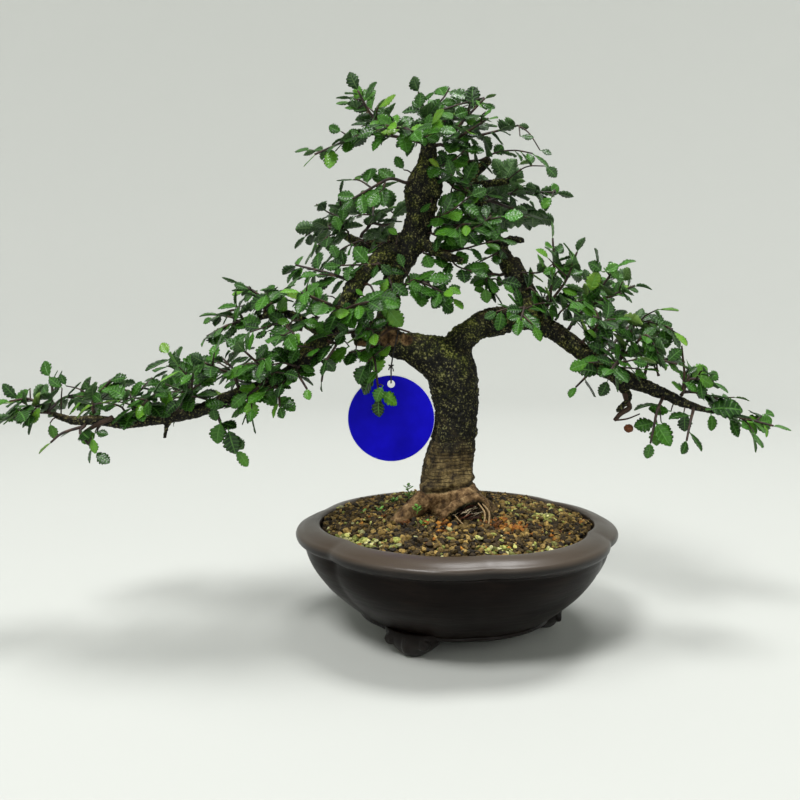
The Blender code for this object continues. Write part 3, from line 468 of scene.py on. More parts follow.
WOUND_RIM = [(-11, -24, 63, 2.4), (-9.5, -25.5, 69, 2.7), (-6, -26, 75.5, 3.0), (2, -25.5, 81, 3.2),
             (10, -24.5, 82.5, 3.0), (15.5, -24, 78, 2.5), (16, -24.5, 71, 2.0), (14, -25, 62, 1.6)]
STUBS = [[(-30, -7, 168, 6.5), (-44, -10, 170, 5.0), (-52, -12, 170, 3.4), (-60, -15, 170, 1.8)],
         [(-27, -9, 170, 3.6), (-27, -11, 174, 2.6)],
         [(-21, 9, 232, 4.5), (-17, 1, 224, 3.2), (-5, -7, 218, 2.6), (2, -13, 216, 1.6)],
         [(9, 34, 268, 3.2), (17, 31, 275, 3.0), (20, 29, 278, 2.8)],
         [(14, 33, 262, 2.8), (24, 28, 264, 2.4), (31, 24, 264, 2.0)],
         [(26, 31, 226, 3.2), (33, 27, 230, 2.6), (41, 24, 229, 2.0)],
         [(90, 1, 152, 3.6), (97, -3, 141, 2.6), (99, -5, 137, 2.2), (91, -8, 130, 1.4)],
         [(-162, -25, 129, 2.2), (-164, -26, 122, 1.3), (-165, -26, 117, 1.5)],
         [(14, 5, 177, 5.6), (22, 6, 178.6, 5.9), (31, 7, 180, 5.6)], [(27, 7, 180, 3.6), (28, 4, 175, 1.8)],
         [(50, 9, 181, 4.4), (46, 15, 193, 4.4), (40, 21, 206, 4.4), (34, 26, 218, 4.2)],
         [(-4, -1, 142, 9.5), (-10, -2, 152, 9.2), (-17, -4, 159, 8.4), (-26, -6, 165, 7.8)]]
BURL = (-17, 5, 258, 8.5)
# Small knobs on the bark: place and radius
KNOBS = [(-50, -12, 177, 4.6), (-58, -13, 175, 3.6), (-37, -15, 171, 3.4), (-31, -14, 173, 2.6),
         (-44, -12, 177, 3.0), (-48, -10, 182, 2.2), (-19, -9, 172, 2.4),
         (22, 2, 188, 2.6), (36, 4, 187, 2.4), (52, 3, 183, 2.8), (61, 2, 173, 2.6), (78, 0, 163, 2.6),
         (-62, -21, 196, 2.8), (-73, -26, 180, 2.8), (-88, -31, 163, 2.8), (-108, -33, 149, 2.4),
         (-129, -33, 141, 2.4), (-150, -29, 131, 2.0), (-24, 2, 238, 2.8), (-14, 3, 246, 2.6),
         (-36, -2, 222, 3.0), (-41, 0, 196, 2.4), (28, 20, 222, 2.4), (15, 29, 250, 2.6), (98, -4, 151, 2.4),
         (112, -7, 144, 2.2)]
WOOD_VOXEL = 0.82
LUMP_SIZE = 11.0
FOLD_SIZE = 4.2
SCALE_SIZE = 3.1
RING_PITCH = 2.3
# The old collar: a crack round the trunk between the bark above and the bare root wood below
FISSURE_HEIGHT = 84.6
FISSURE_LOWEST = -14.0
FISSURE_BEND = (0.018, 5.0)
RING_CRACKS = [(113.0, 0.9), (105.0, 0.5), (98.0, 0.4), (126.5, 0.6)]
# The hollow between the front roots, the cleft beside it, and rubbed places on the left fork
WOUND = (3.0, -29.5, 72.6)
WOUND_SIZE = (11.2, 9.4, 6.8)
WOUND_SLANT = 0.42
CLEFT = (-15.5, -25.0, 72.0)
CLEFT_SIZE = (2.8, 7.0, 7.5)
SCARS = [(-55, -15, 167, 2.8), (-47, -16, 168.5, 2.8), (-39, -15, 173, 4.0), (-30, -14, 172, 2.6)]


def limb_samples():
    """Points along every limb and root, with their radius and the way they run."""
    places, radii, ways = [], [], []
    for points in [TRUNK] + list(LIMBS.values()) + ROOTS:
        route = smooth_through(points, 4.0)
        ahead = np.gradient(route[:, :3], axis=0)
        ahead /= np.linalg.norm(ahead, axis=1)[:, None]
        places.append(route[:, :3])
        radii.append(route[:, 3])
        ways.append(ahead)
    return np.concatenate(places), np.concatenate(radii), np.concatenate(ways)


def fractal(point, size, octaves=3):
    """Noise from about -1 to 1 with its coarsest lumps a size across, in millimetres."""
    value, weight = 0.0, 1.0
    for _ in range(octaves):
        value += weight * noise.noise(point / size)
        size *= 0.5
        weight *= 0.5
    return value


def smooth_step(value, low, high):
    t = min(1.0, max(0.0, (value - low) / (high - low)))
    return t * t * (3.0 - 2.0 * t)


def rough_bark(points, normals):
    """Move the wood's points for its cracks, scales and lumps, and say how mossy and dark each is, painted
    shade included.
    """
    places, radii, ways = limb_samples()
    moved, moss, dark, earth, rings = [], [], [], [], []
    for point, normal in zip(points, normals):
        p = Vector(point)
        n = Vector(normal)
        gap = np.linalg.norm(places - point, axis=1) - radii
        near = int(np.argmin(gap))
        way = Vector(ways[near])
        thick = min(1.0, radii[near] / 9.0)
        along = way * p.dot(way)
        squashed = p - along * 0.55
        lift = thick * (0.8 * fractal(p, LUMP_SIZE, 2) + 0.75 * fractal(squashed, FOLD_SIZE, 3))
        lift += (0.25 + 0.25 * smooth_step(p.z, 110.0, 130.0)) * noise.noise(p / 1.5)
        low = 1.0 - smooth_step(p.z, 108.0, 128.0)
        if low > 0.0 and radii[near] > 9.0:
            wave = p.z / RING_PITCH + 0.7 * noise.noise(Vector((p.x, p.y, p.z * 0.5)) / 15.0)
            ring = abs((wave % 1.0) - 0.5) * 2.0
            broken = smooth_step(noise.noise(Vector((p.x, p.y, p.z * 3.0)) / 7.0), -0.25, 0.15)
            lift -= 0.3 * low * broken * smooth_step(ring, 0.78, 1.0)
        scales = noise.voronoi(squashed / SCALE_SIZE)[0]
        edge = scales[1] - scales[0]
        lift -= (1.0 - 0.6 * low) * 0.55 * thick * (1.0 - smooth_step(edge, 0.0, 0.22))
        fissure = FISSURE_HEIGHT + min(FISSURE_BEND[1], FISSURE_BEND[0] * (p.x - FISSURE_LOWEST) ** 2)
        fissure += 1.0 * noise.noise(Vector((p.x, p.y, 0.0)) / 7.0)
        from_trunk = math.hypot(p.x + 4.0, p.y)
        crack = 0.0
        if abs(p.z - fissure) < 9.0 and from_trunk < 23.0:
            front = smooth_step(-p.y, 0.0, 9.0)
            crack = front * math.exp(-((p.z - fissure + 0.4) / 0.9) ** 2)
            bulge = smooth_step(p.z, fissure, fissure + 1.2)
            bulge *= 1.0 - smooth_step(p.z, fissure + 2.0, fissure + 9.0)
            lift += 0.9 * front * bulge - 2.1 * crack
        for height, depth in RING_CRACKS:
            level = height + 1.2 * noise.noise(Vector((p.x, p.y, height)) / 8.0)
            ring_crack = math.exp(-((p.z - level) / 0.7) ** 2) if from_trunk < 20.0 else 0.0
            lift -= depth * ring_crack
            crack = max(crack, depth * ring_crack)
        away = Vector(((p.x - WOUND[0]) / WOUND_SIZE[0], (p.y - WOUND[1]) / WOUND_SIZE[1],
                       (p.z - WOUND[2] - WOUND_SLANT * (p.x - WOUND[0])) / WOUND_SIZE[2])).length
        hurt = 1.0 - smooth_step(away, 1.0, 1.22)
        split = Vector(((p.x - CLEFT[0]) / CLEFT_SIZE[0], (p.y - CLEFT[1]) / CLEFT_SIZE[1],
                        (p.z - CLEFT[2]) / CLEFT_SIZE[2])).length
        # Painted shade: the hollow, the cleft and the cracks are darkened where shade falls in them.
        recess_shade = max(hurt * 1.2, 1.1 * (1.0 - smooth_step(split, 1.0, 1.3)), 0.9 * crack)
        scar = 0.0
        for x, y, z, size in SCARS:
            scar = max(scar, 1.0 - smooth_step((p - Vector((x, y, z))).length, size * 1.2, size * 1.7))
        lift += 1.1 * hurt * fractal(Vector((p.x * 0.8 + p.z * 1.2, p.y, p.z * 2.0)), 3.4, 2)
        moved.append(p + n * lift)
        patch = fractal(p, 14.0, 3)
        lit = smooth_step(n.z, -0.15, 0.75)
        high = smooth_step(p.z, 128.0, 158.0)
        shadow = smooth_step(noise.noise(p / 17.0), -0.1, 0.5) * (1.0 - smooth_step(p.z, 78.0, 90.0))
        moss.append((0.45 + 0.55 * lit) * high * smooth_step(patch, -0.35, 0.3) * (1.0 - scar))
        # Darker bark above, with painted shade on the undersides; with the painted shade of recesses and root
        # patches it makes the dark value.
        dark_bark_and_painted_light = smooth_step(p.z + 9.0 * noise.noise(p / 11.0), 98.0, 122.0) * (0.9 + 0.3 * (1.0 - lit))
        dark.append(max(recess_shade, 0.7 * shadow, dark_bark_and_painted_light) * (1.0 - scar))
        earth.append(max(scar, (1.0 - smooth_step(p.z, fissure - 1.5, fissure + 1.0)) * (1.0 - hurt)))
        rings.append(low * smooth_step(p.z, fissure, fissure + 4.0))
    return moved, {"moss": moss, "dark": dark, "earth": earth, "rings": rings}


def elm_bark():
    """Elm bark: matt, grey-brown with thin dark rings low down, nearly black and flaky above, with moss;
    painted shade where the wood is dark, and painted highlights on its brightest specks.
    """
    material, place = new_material("elm_bark")
    moss, dark, earth, low = (node(material, "Attribute", {"attribute_name": name}).outputs["Fac"]
                              for name in ("moss", "dark", "earth", "rings"))
    mottle = node(material, "TexNoise",
                  {"Vector": place, "Scale": marks_of(4.35), "Detail": 6.0, "Roughness": 0.65})
    speck = node(material, "TexNoise", {"Vector": place, "Scale": marks_of(1.11), "Detail": 3.0})
    broad = node(material, "TexNoise", {"Vector": place, "Scale": marks_of(16.67), "Detail": 3.0})
    shifted = node(material, "Mix", {"data_type": "VECTOR", 0: 0.0012, 4: place, 5: mottle.outputs["Color"]})
    flakes = node(material, "TexVoronoi", {"Vector": shifted, "Scale": marks_of(1.11)})
    pale = ramp(material, mottle,
                [(0.34, "#1c150d"), (0.45, "#463a24"), (0.56, "#675736"), (0.70, "#8b7a52")])
    # Painted highlights: the brightest specks of the dark bark and of the moss stand in for light on rough
    # bark.
    specks_and_glints = node(material, "Math", {"operation": "MULTIPLY_ADD", 0: mottle, 1: 0.5, 2: speck})
    dark_bark_and_painted_light = ramp(material, specks_and_glints,
                 [(0.66, "#040403"), (0.76, "#11100a"), (0.84, "#2b2a18"), (0.94, "#6d6b45")])
    root = ramp(material, mottle,
                [(0.32, "#1d1209"), (0.45, "#4d3820"), (0.57, "#7a6040"), (0.70, "#a58a62")])
    green = ramp(material, specks_and_glints,
                 [(0.62, "#0a0c04"), (0.74, "#2a300c"), (0.84, "#4f5519"), (0.96, "#83834a")])
    spread = node(material, "Math", {"operation": "MULTIPLY_ADD", 0: broad, 1: 1.2, 2: -0.6})
    # Painted shade: where dark is high the bark turns near black, in hollows, cracks, undersides and root
    # patches as well as on the dark bark above.
    shade = node(material, "Math", {"operation": "ADD", "use_clamp": True, 0: dark, 1: spread})
    base = node(material, "Mix", {"data_type": "RGBA", 0: shade, 6: pale, 7: dark_bark_and_painted_light})
    soiled = node(material, "Mix", {"data_type": "RGBA", 0: earth, 6: base, 7: root})
    rooted = node(material, "Mix", {"data_type": "RGBA", 0: shade, 6: soiled, 7: base})
    height = node(material, "SeparateXYZ", {"Vector": place}).outputs["Z"]
    bent = node(material, "Math", {"operation": "MULTIPLY_ADD", 0: broad, 1: 0.005, 2: height})
    turns = node(material, "Math", {"operation": "MULTIPLY", 0: bent, 1: marks_of(1.923)})
    part = node(material, "Math", {"operation": "FRACT", 0: turns})
    middle = node(material, "Math", {"operation": "SUBTRACT", 0: part, 1: 0.5})
    from_middle = node(material, "Math", {"operation": "ABSOLUTE", 0: middle})
    line = node(material, "MapRange", {"Value": from_middle, "From Min": 0.34, "From Max": 0.48})
    patchy = node(material, "TexNoise", {"Vector": place, "Scale": marks_of(8.33), "Detail": 3.0})
    broken = node(material, "MapRange", {"Value": patchy, "From Min": 0.36, "From Max": 0.54, "To Max": 0.95})
    cut = node(material, "Math", {"operation": "MULTIPLY", 0: line, 1: broken})
    ring = node(material, "Math", {"operation": "MULTIPLY", 0: cut, 1: low})
    upright = node(material, "Mapping", {"Vector": place, "Scale": (1.0, 1.0, 0.12)})
    streaks = node(material, "TexNoise", {"Vector": upright, "Scale": marks_of(1.25), "Detail": 2.0})
    streaky = node(material, "MapRange",
                   {"Value": streaks, "From Min": 0.35, "From Max": 0.65, "To Min": 0.68, "To Max": 1.25})
    grained = node(material, "Mix",
                   {"data_type": "RGBA", "blend_type": "MULTIPLY", 0: low, 6: rooted, 7: streaky})
    ringed = node(material, "Mix", {"data_type": "RGBA", 0: ring, 6: grained, 7: linear("#0e0a05")})
    cover = node(material, "MapRange", {"Value": mottle, "From Min": 0.36, "From Max": 0.56})
    patch = node(material, "Math", {"operation": "MULTIPLY", 0: moss, 1: cover})
    mossy = node(material, "Mix", {"data_type": "RGBA", 0: patch, 6: ringed, 7: green})
    rough = node(material, "MapRange", {"Value": speck, "To Min": 0.55, "To Max": 0.9})
    cracks = node(material, "Bump", {"Strength": 0.8, "Distance": 0.0007, "Height": mottle})
    edges = node(material, "Bump",
                 {"invert": True, "Strength": 0.7, "Distance": 0.0005, "Height": flakes, "Normal": cracks})
    grooves = node(material, "Bump",
                   {"invert": True, "Strength": 0.8, "Distance": 0.0004, "Height": ring, "Normal": edges})
    return finish_material(material, IOR=1.45, Specular_IOR_Level=0.22, Base_Color=mossy, Roughness=rough,
                           Normal=grooves)


def set_attribute(piece, name, values):
    made = piece.data.attributes.new(name, "FLOAT", "POINT")
    made.data.foreach_set("value", np.asarray(values, np.float32))


def make_wood():
    shapes = [tube(smooth_through(TRUNK, 4.0), 40)]
    for root in ROOTS:
        shapes.append(tube(smooth_through(root, 3.0), 24))
    for points in LIMBS.values():
        shapes.append(tube(smooth_through(points, 3.0), 24))
    for points in STUBS + [WOUND_RIM]:
        shapes.append(tube(smooth_through(points, 2.0), 16))
    knob, knob_faces = ball(3)
    for x, y, z, size in KNOBS:
        shapes.append((knob * size + (x, y, z), knob_faces))
    rough = loose_object("wood_shape", *join(shapes))
    bpy.ops.mesh.primitive_uv_sphere_add(segments=24, ring_count=16, radius=BURL[3], location=BURL[:3])
    burl_points, burl_faces = mesh_arrays(bpy.context.object)
    burl_points = burl_points + np.array(BURL[:3])
    whole = loose_object("wood_shape", *join([mesh_arrays(rough), (burl_points, burl_faces)]))
    merge = whole.modifiers.new("merge", "REMESH")
    merge.mode = "VOXEL"
    merge.voxel_size = WOOD_VOXEL
    soften = whole.modifiers.new("soften", "SMOOTH")
    soften.factor = 0.5
    soften.iterations = 3
    bake_modifiers(whole)
    hollow, hollow_faces = ball(4)
    ragged = np.array([1.0 + 0.16 * fractal(Vector(p) * 3.0, 2.6, 3) for p in hollow])
    slanted = hollow * ragged[:, None] * WOUND_SIZE
    slanted[:, 2] += WOUND_SLANT * slanted[:, 0]
    cleft = hollow * ragged[:, None] * CLEFT_SIZE
    combine(whole, loose_object("hollow", slanted + WOUND, hollow_faces), "DIFFERENCE")
    combine(whole, loose_object("cleft", cleft + CLEFT, hollow_faces), "DIFFERENCE")
    merge = whole.modifiers.new("merge", "REMESH")
    merge.mode = "VOXEL"
    merge.voxel_size = WOOD_VOXEL
    bake_modifiers(whole)
    normals = np.empty(len(whole.data.vertices) * 3)
    whole.data.vertex_normals.foreach_get("vector", normals)
    points, faces = mesh_arrays(whole)
    moved, shades = rough_bark(points, normals.reshape(-1, 3))
    wood = new_piece("elm_wood", moved, faces, elm_bark(), ["wood"])
    for name, values in shades.items():
        set_attribute(wood, name, values)
    return wood, BVHTree.FromPolygons([tuple(p) for p in moved], faces)


wood, bark_tree = make_wood()

# Dead twigs and torn fibres: dry leftovers on the living wood. Thin dead twigs, a dried bud on a pruned
# stub, pale rootlets over the front root, and torn red-brown fibres in its hollow.
DEAD_TWIGS = [[(97, -4, 140, 1.9), (98, -6, 135, 1.6), (99, -7, 132, 1.6), (94, -8, 129, 1.5),
               (90, -9, 125, 1.1)],
              [(90, -9, 125, 0.6), (97, -10, 126, 0.5), (104, -11, 129, 0.4)],
              [(129, -8, 142, 0.8), (129, -10, 152, 0.7), (128, -10, 160, 0.6), (127, -10, 168, 0.5)],
              [(-46, -12, 172, 0.8), (-38, -16, 178, 0.7), (-28, -18, 176, 0.5)],
              [(-43, -12, 172, 0.8), (-40, -14, 178, 0.6), (-41, -13, 183, 0.5)],
              [(-209, -26, 121, 1.0), (-202, -27, 125, 1.3), (-193, -28, 129, 1.6)],
              [(3, 18, 265, 0.6), (6, 12, 258, 0.6), (2, 10, 249, 0.5)],
              [(-2, 10, 262, 0.5), (-4, 6, 255, 0.5), (-1, 6, 248, 0.4)],
              [(109, 0, 164, 0.5), (113, 0, 158, 0.5), (117, -2, 150, 0.6)],
              [(113, 2, 171, 0.4), (115, 0, 161, 0.5), (116, -3, 150, 0.6)]]
BUD = (98.0, -10.0, 120.5)
BUD_SIZE = (2.6, 2.3, 2.4)
ROOTLETS = [[(13, -26, 80, 0.5), (16.5, -28, 75, 0.6), (15.5, -31, 68.5, 0.55), (10, -35, 66, 0.4)],
            [(10, -26, 81, 0.4), (14, -29, 75, 0.5), (12, -32.5, 68, 0.4), (6, -37, 66, 0.3)],
            [(-3, -27, 74, 0.35), (1, -31, 70, 0.35), (6, -34, 67, 0.3)]]
FIBRE_COUNT = 46
FIBRE_SEED = 12
FIBRE_COLOURS = ["#4a2415", "#5e3220", "#2c1710", "#6d4a30", "#2a1a12", "#3b2318", "#c9b89a"]


def dry_wood():
    """Dead wood and fibres: dry and matt, grey-brown to red-brown, without bark."""
    material, place = new_material("dead_wood_fibre")
    own = node(material, "Attribute", {"attribute_name": "grain_colour"}).outputs["Color"]
    streaks = node(material, "TexNoise", {"Vector": place, "Scale": marks_of(0.833), "Detail": 3.0})
    bright = node(material, "MapRange",
                  {"Value": streaks, "From Min": 0.3, "From Max": 0.7, "To Min": 0.5, "To Max": 1.4})
    shaded = node(material, "Mix", {"data_type": "RGBA", "blend_type": "MULTIPLY", 0: 1.0, 6: own, 7: bright})
    rough = node(material, "MapRange", {"Value": streaks, "To Min": 0.6, "To Max": 0.95})
    return finish_material(material, IOR=1.4, Base_Color=shaded, Roughness=rough)


def set_colours(piece, colours):
    made = piece.data.color_attributes.new("grain_colour", "FLOAT_COLOR", "POINT")
    made.data.foreach_set("color", np.asarray(colours, np.float32).ravel())


def make_dry_wood():
    draw = random.Random(FIBRE_SEED)
    shapes, colours = [], []
    for route in DEAD_TWIGS:
        shapes.append(tube(smooth_through(route, 1.5), 8))
        colours += [linear("#3a2a1f")] * len(shapes[-1][0])
    bud, bud_faces = ball(3)
    scales = np.array([1.0 + 0.22 * noise.noise(Vector(p) * 3.2) for p in bud])
    shapes.append((bud * scales[:, None] * BUD_SIZE + BUD, bud_faces))
    colours += [linear("#66391d")] * len(bud)
    for route in ROOTLETS:
        shapes.append(tube(smooth_through(route, 1.0), 8))
        colours += [linear("#a08660")] * len(shapes[-1][0])
    for _ in range(FIBRE_COUNT):
        x, z = draw.uniform(-8.5, 8.5), draw.uniform(-4.0, 4.0)
        start = Vector((WOUND[0] + x, draw.uniform(-25.5, -22.5), WOUND[2] + z + WOUND_SLANT * x))
        way = Vector((draw.uniform(0.6, 1.4), draw.uniform(-0.5, 0.3), draw.uniform(0.1, 0.9))).normalized()
        bend = Vector((draw.uniform(-0.8, 0.8), draw.uniform(-0.8, 0.3), draw.uniform(-0.8, 0.8)))
        reach = draw.uniform(4.0, 8.0)
        size = draw.uniform(0.16, 0.42)
        half = way * reach / 2
        fibre = [(*(start - half), size), (*(start + bend), size), (*(start + half), size * 0.5)]
        shapes.append(tube(smooth_through(fibre, 1.2), 6))
        colours += [linear(draw.choice(FIBRE_COLOURS))] * len(shapes[-1][0])
    points, faces = join(shapes)
    piece = new_piece("dead_twigs_and_fibres", points, faces, dry_wood())
    set_colours(piece, colours)


make_dry_wood()

# Soil: the pot is filled with baked clay grains of 2 to 5 mm, loose on a bed of the same. Pale lichen
# and moss sit on some of them, and the grains below the trunk are stained orange by algae and iron.
SOIL_EDGE = 62.2
SOIL_MOUND = 71.3
SOIL_LEAN = (-0.9, 2.0)
SOIL_REACH = 79.0
POT_INSIDE = 79.6
SOIL_FALL = 2.2
BED_BOTTOM = 16.6
GRAIN_SPACING = 2.9
GRAIN_SIZE = (1.3, 2.3)
CRUMB_COUNT = 1500
CRUMB_SIZE = (0.7, 1.2)
GRAIN_FACETS = 9
FACET_DEPTH = (0.54, 0.88)
GRAIN_SEED = 7
EARTHS = ["#352810", "#4f3e1c", "#665227", "#7d6633", "#221a0d", "#977d44", "#46381b"]
LICHENS = ["#8d9048", "#a5a55c", "#6f7434", "#b9b67c"]
RUSTS = ["#8a5519", "#744413", "#9c6a26", "#5f3a15"]
LICHEN_PATCHES = [(-64, -42, 7), (-56, -52, 8), (-47, -56, 6), (-66, -35, 4), (18, -66, 8), (45, -60, 6),
                  (54, -8, 7), (38, 10, 6), (-36, -56, 4), (8, -52, 3), (62, 22, 6), (-20, 52, 9)]
RUST_PATCHES = [(-8, -33, 8, 0.8), (24, -30, 10, 0.85), (-30, -24, 5, 0.4), (34, -38, 7, 0.4)]


def soil_height(x, y):
    reach = min(1.0, math.hypot(x, y) / SOIL_REACH)
    waves = math.sin(x * 0.19 + y * 0.07) * math.sin(y * 0.17 - x * 0.05)
    waves += (SOIL_LEAN[0] * x + SOIL_LEAN[1] * y) / SOIL_REACH
    return SOIL_EDGE + (SOIL_MOUND - SOIL_EDGE) * (1.0 - reach ** SOIL_FALL) + 0.8 * waves


def grain_colour(x, y, draw):
    """The colour of the grain at a place: earth, or lichen or rust near one of their patches."""
    pale = sum(math.exp(-((x - px) ** 2 + (y - py) ** 2) / size ** 2) for px, py, size in LICHEN_PATCHES)
    rusty = sum(depth * math.exp(-((x - px) ** 2 + (y - py) ** 2) / size ** 2)
                for px, py, size, depth in RUST_PATCHES)
    if draw.random() < 0.75 * pale + 0.04:
        return linear(draw.choice(LICHENS))
    if draw.random() < rusty + 0.02:
        return linear(draw.choice(RUSTS))
    return linear(draw.choice(EARTHS))


def baked_clay():
    """Grains of baked clay: matt, each with its own earth, lichen or rust colour.

    The pores are drawn about a millimetre wide, coarser than the real ones, so that they show."""
    material, place = new_material("baked_clay_grains")
    own = node(material, "Attribute", {"attribute_name": "grain_colour"}).outputs["Color"]
    pores = node(material, "TexNoise", {"Vector": place, "Scale": marks_of(0.909), "Detail": 4.0})
    bright = node(material, "MapRange",
                  {"Value": pores, "From Min": 0.3, "From Max": 0.7, "To Min": 0.4, "To Max": 1.35})
    shaded = node(material, "Mix", {"data_type": "RGBA", "blend_type": "MULTIPLY", 0: 1.0, 6: own, 7: bright})
    rough = node(material, "MapRange", {"Value": pores, "To Min": 0.6, "To Max": 0.95})
    bump = node(material, "Bump", {"Strength": 0.8, "Distance": 0.0004, "Height": pores})
    return finish_material(material, IOR=1.4, Base_Color=shaded, Roughness=rough, Normal=bump)


def pot_inner(angle):
    """How far the soil reaches at an angle: to the pot's inside, drawn in at its creases."""
    return POT_INSIDE * (1.0 - LIP_NOTCH * crease_at(angle))


def make_soil():
    draw = random.Random(GRAIN_SEED)
    clay = baked_clay()
    places = []
    steps = int(2 * SOIL_REACH / GRAIN_SPACING) + 2
    for row in range(int(steps / 0.866)):
        for column in range(steps):
            x = (column + 0.5 * (row % 2)) * GRAIN_SPACING - SOIL_REACH - 2.0 + draw.uniform(-1.0, 1.0)
            y = row * 0.866 * GRAIN_SPACING - SOIL_REACH - 2.0 + draw.uniform(-1.0, 1.0)
            places.append((x, y, draw.uniform(*GRAIN_SIZE), 0))
    for _ in range(CRUMB_COUNT):
        angle, reach = draw.uniform(0.0, 2 * math.pi), math.sqrt(draw.random()) * SOIL_REACH
        places.append((reach * math.cos(angle), reach * math.sin(angle), draw.uniform(*CRUMB_SIZE), 1))
    templates = [ball(2), ball(1)]
    kinds = [([], [], []), ([], [], [])]
    for x, y, size, kind in places:
        if math.hypot(x, y) > pot_inner(math.atan2(y, x)) - size * 0.9:
            continue
        middle = Vector((x, y, soil_height(x, y) + draw.uniform(-0.9, 0.9) + 1.1 * kind))
        near, normal, _, gap = bark_tree.find_nearest(middle)
        if gap < size * 0.7 or (middle - near).dot(normal) < 0.0:
            continue
        points, faces, colours = kinds[kind]
        shape, shape_faces = templates[kind]
        stretch = np.array([draw.uniform(0.75, 1.25), draw.uniform(0.75, 1.25), draw.uniform(0.6, 0.95)])
        turn = np.array(Matrix.Rotation(draw.uniform(0, 6.28), 3, "Z")
                        @ Matrix.Rotation(draw.uniform(-0.7, 0.7), 3, "X"))
        stone = shape * 1.08
        for _ in range(GRAIN_FACETS):
            facet = np.array([draw.gauss(0, 1) for _ in range(3)])
            facet /= np.linalg.norm(facet)
            over = np.maximum(stone @ facet - draw.uniform(*FACET_DEPTH), 0.0)
            stone = stone - over[:, None] * facet
        body = (stone * stretch * size) @ turn.T + np.array(middle)
        start = len(points)
        points.extend(body.tolist())
        faces.extend([tuple(start + i for i in face) for face in shape_faces])
        colour = grain_colour(x, y, draw)
        light = draw.uniform(0.5, 1.5)
        colours.extend([(colour[0] * light, colour[1] * light, colour[2] * light, 1.0)] * len(shape))
    for name, (points, faces, colours) in zip(("soil_grains", "soil_crumbs"), kinds):
        grains = new_piece(name, points, faces, clay, smooth=False)
        set_colours(grains, colours)
    bed_rings = 44
    profile = [(0.0, 0.0)] + [(ring / bed_rings, 1.0) for ring in range(1, bed_rings + 1)]
    profile += [(0.985, 2.0), (0.58, 3.0), (0.0, 4.0)]

    def bed_point(radius, angle, level):
        if level >= 2.0:
            reach, height = {2.0: (73.0, 40.0), 3.0: (47.2, BED_BOTTOM)}[level]
            reach *= 1.0 - BODY_NOTCH * crease_at(angle)
            return reach * math.cos(angle), reach * math.sin(angle), height
        reach = radius * (pot_inner(angle) - 0.4)
        x, y = reach * math.cos(angle), reach * math.sin(angle)
        return x, y, soil_height(x, y) - 0.9 + 0.7 * fractal(Vector((x, y, 0.0)), 3.0, 2)

    bed_points, bed_faces = turned(profile, 132, bed_point)
    bed_points[0] = (0.0, 0.0, SOIL_MOUND)
    bed_points[-1] = (0.0, 0.0, BED_BOTTOM)
    bed = new_piece("soil_bed", bed_points, bed_faces, clay, ["soil"])
    set_colours(bed, [linear(EARTHS[0])] * len(bed_points))


make_soil()

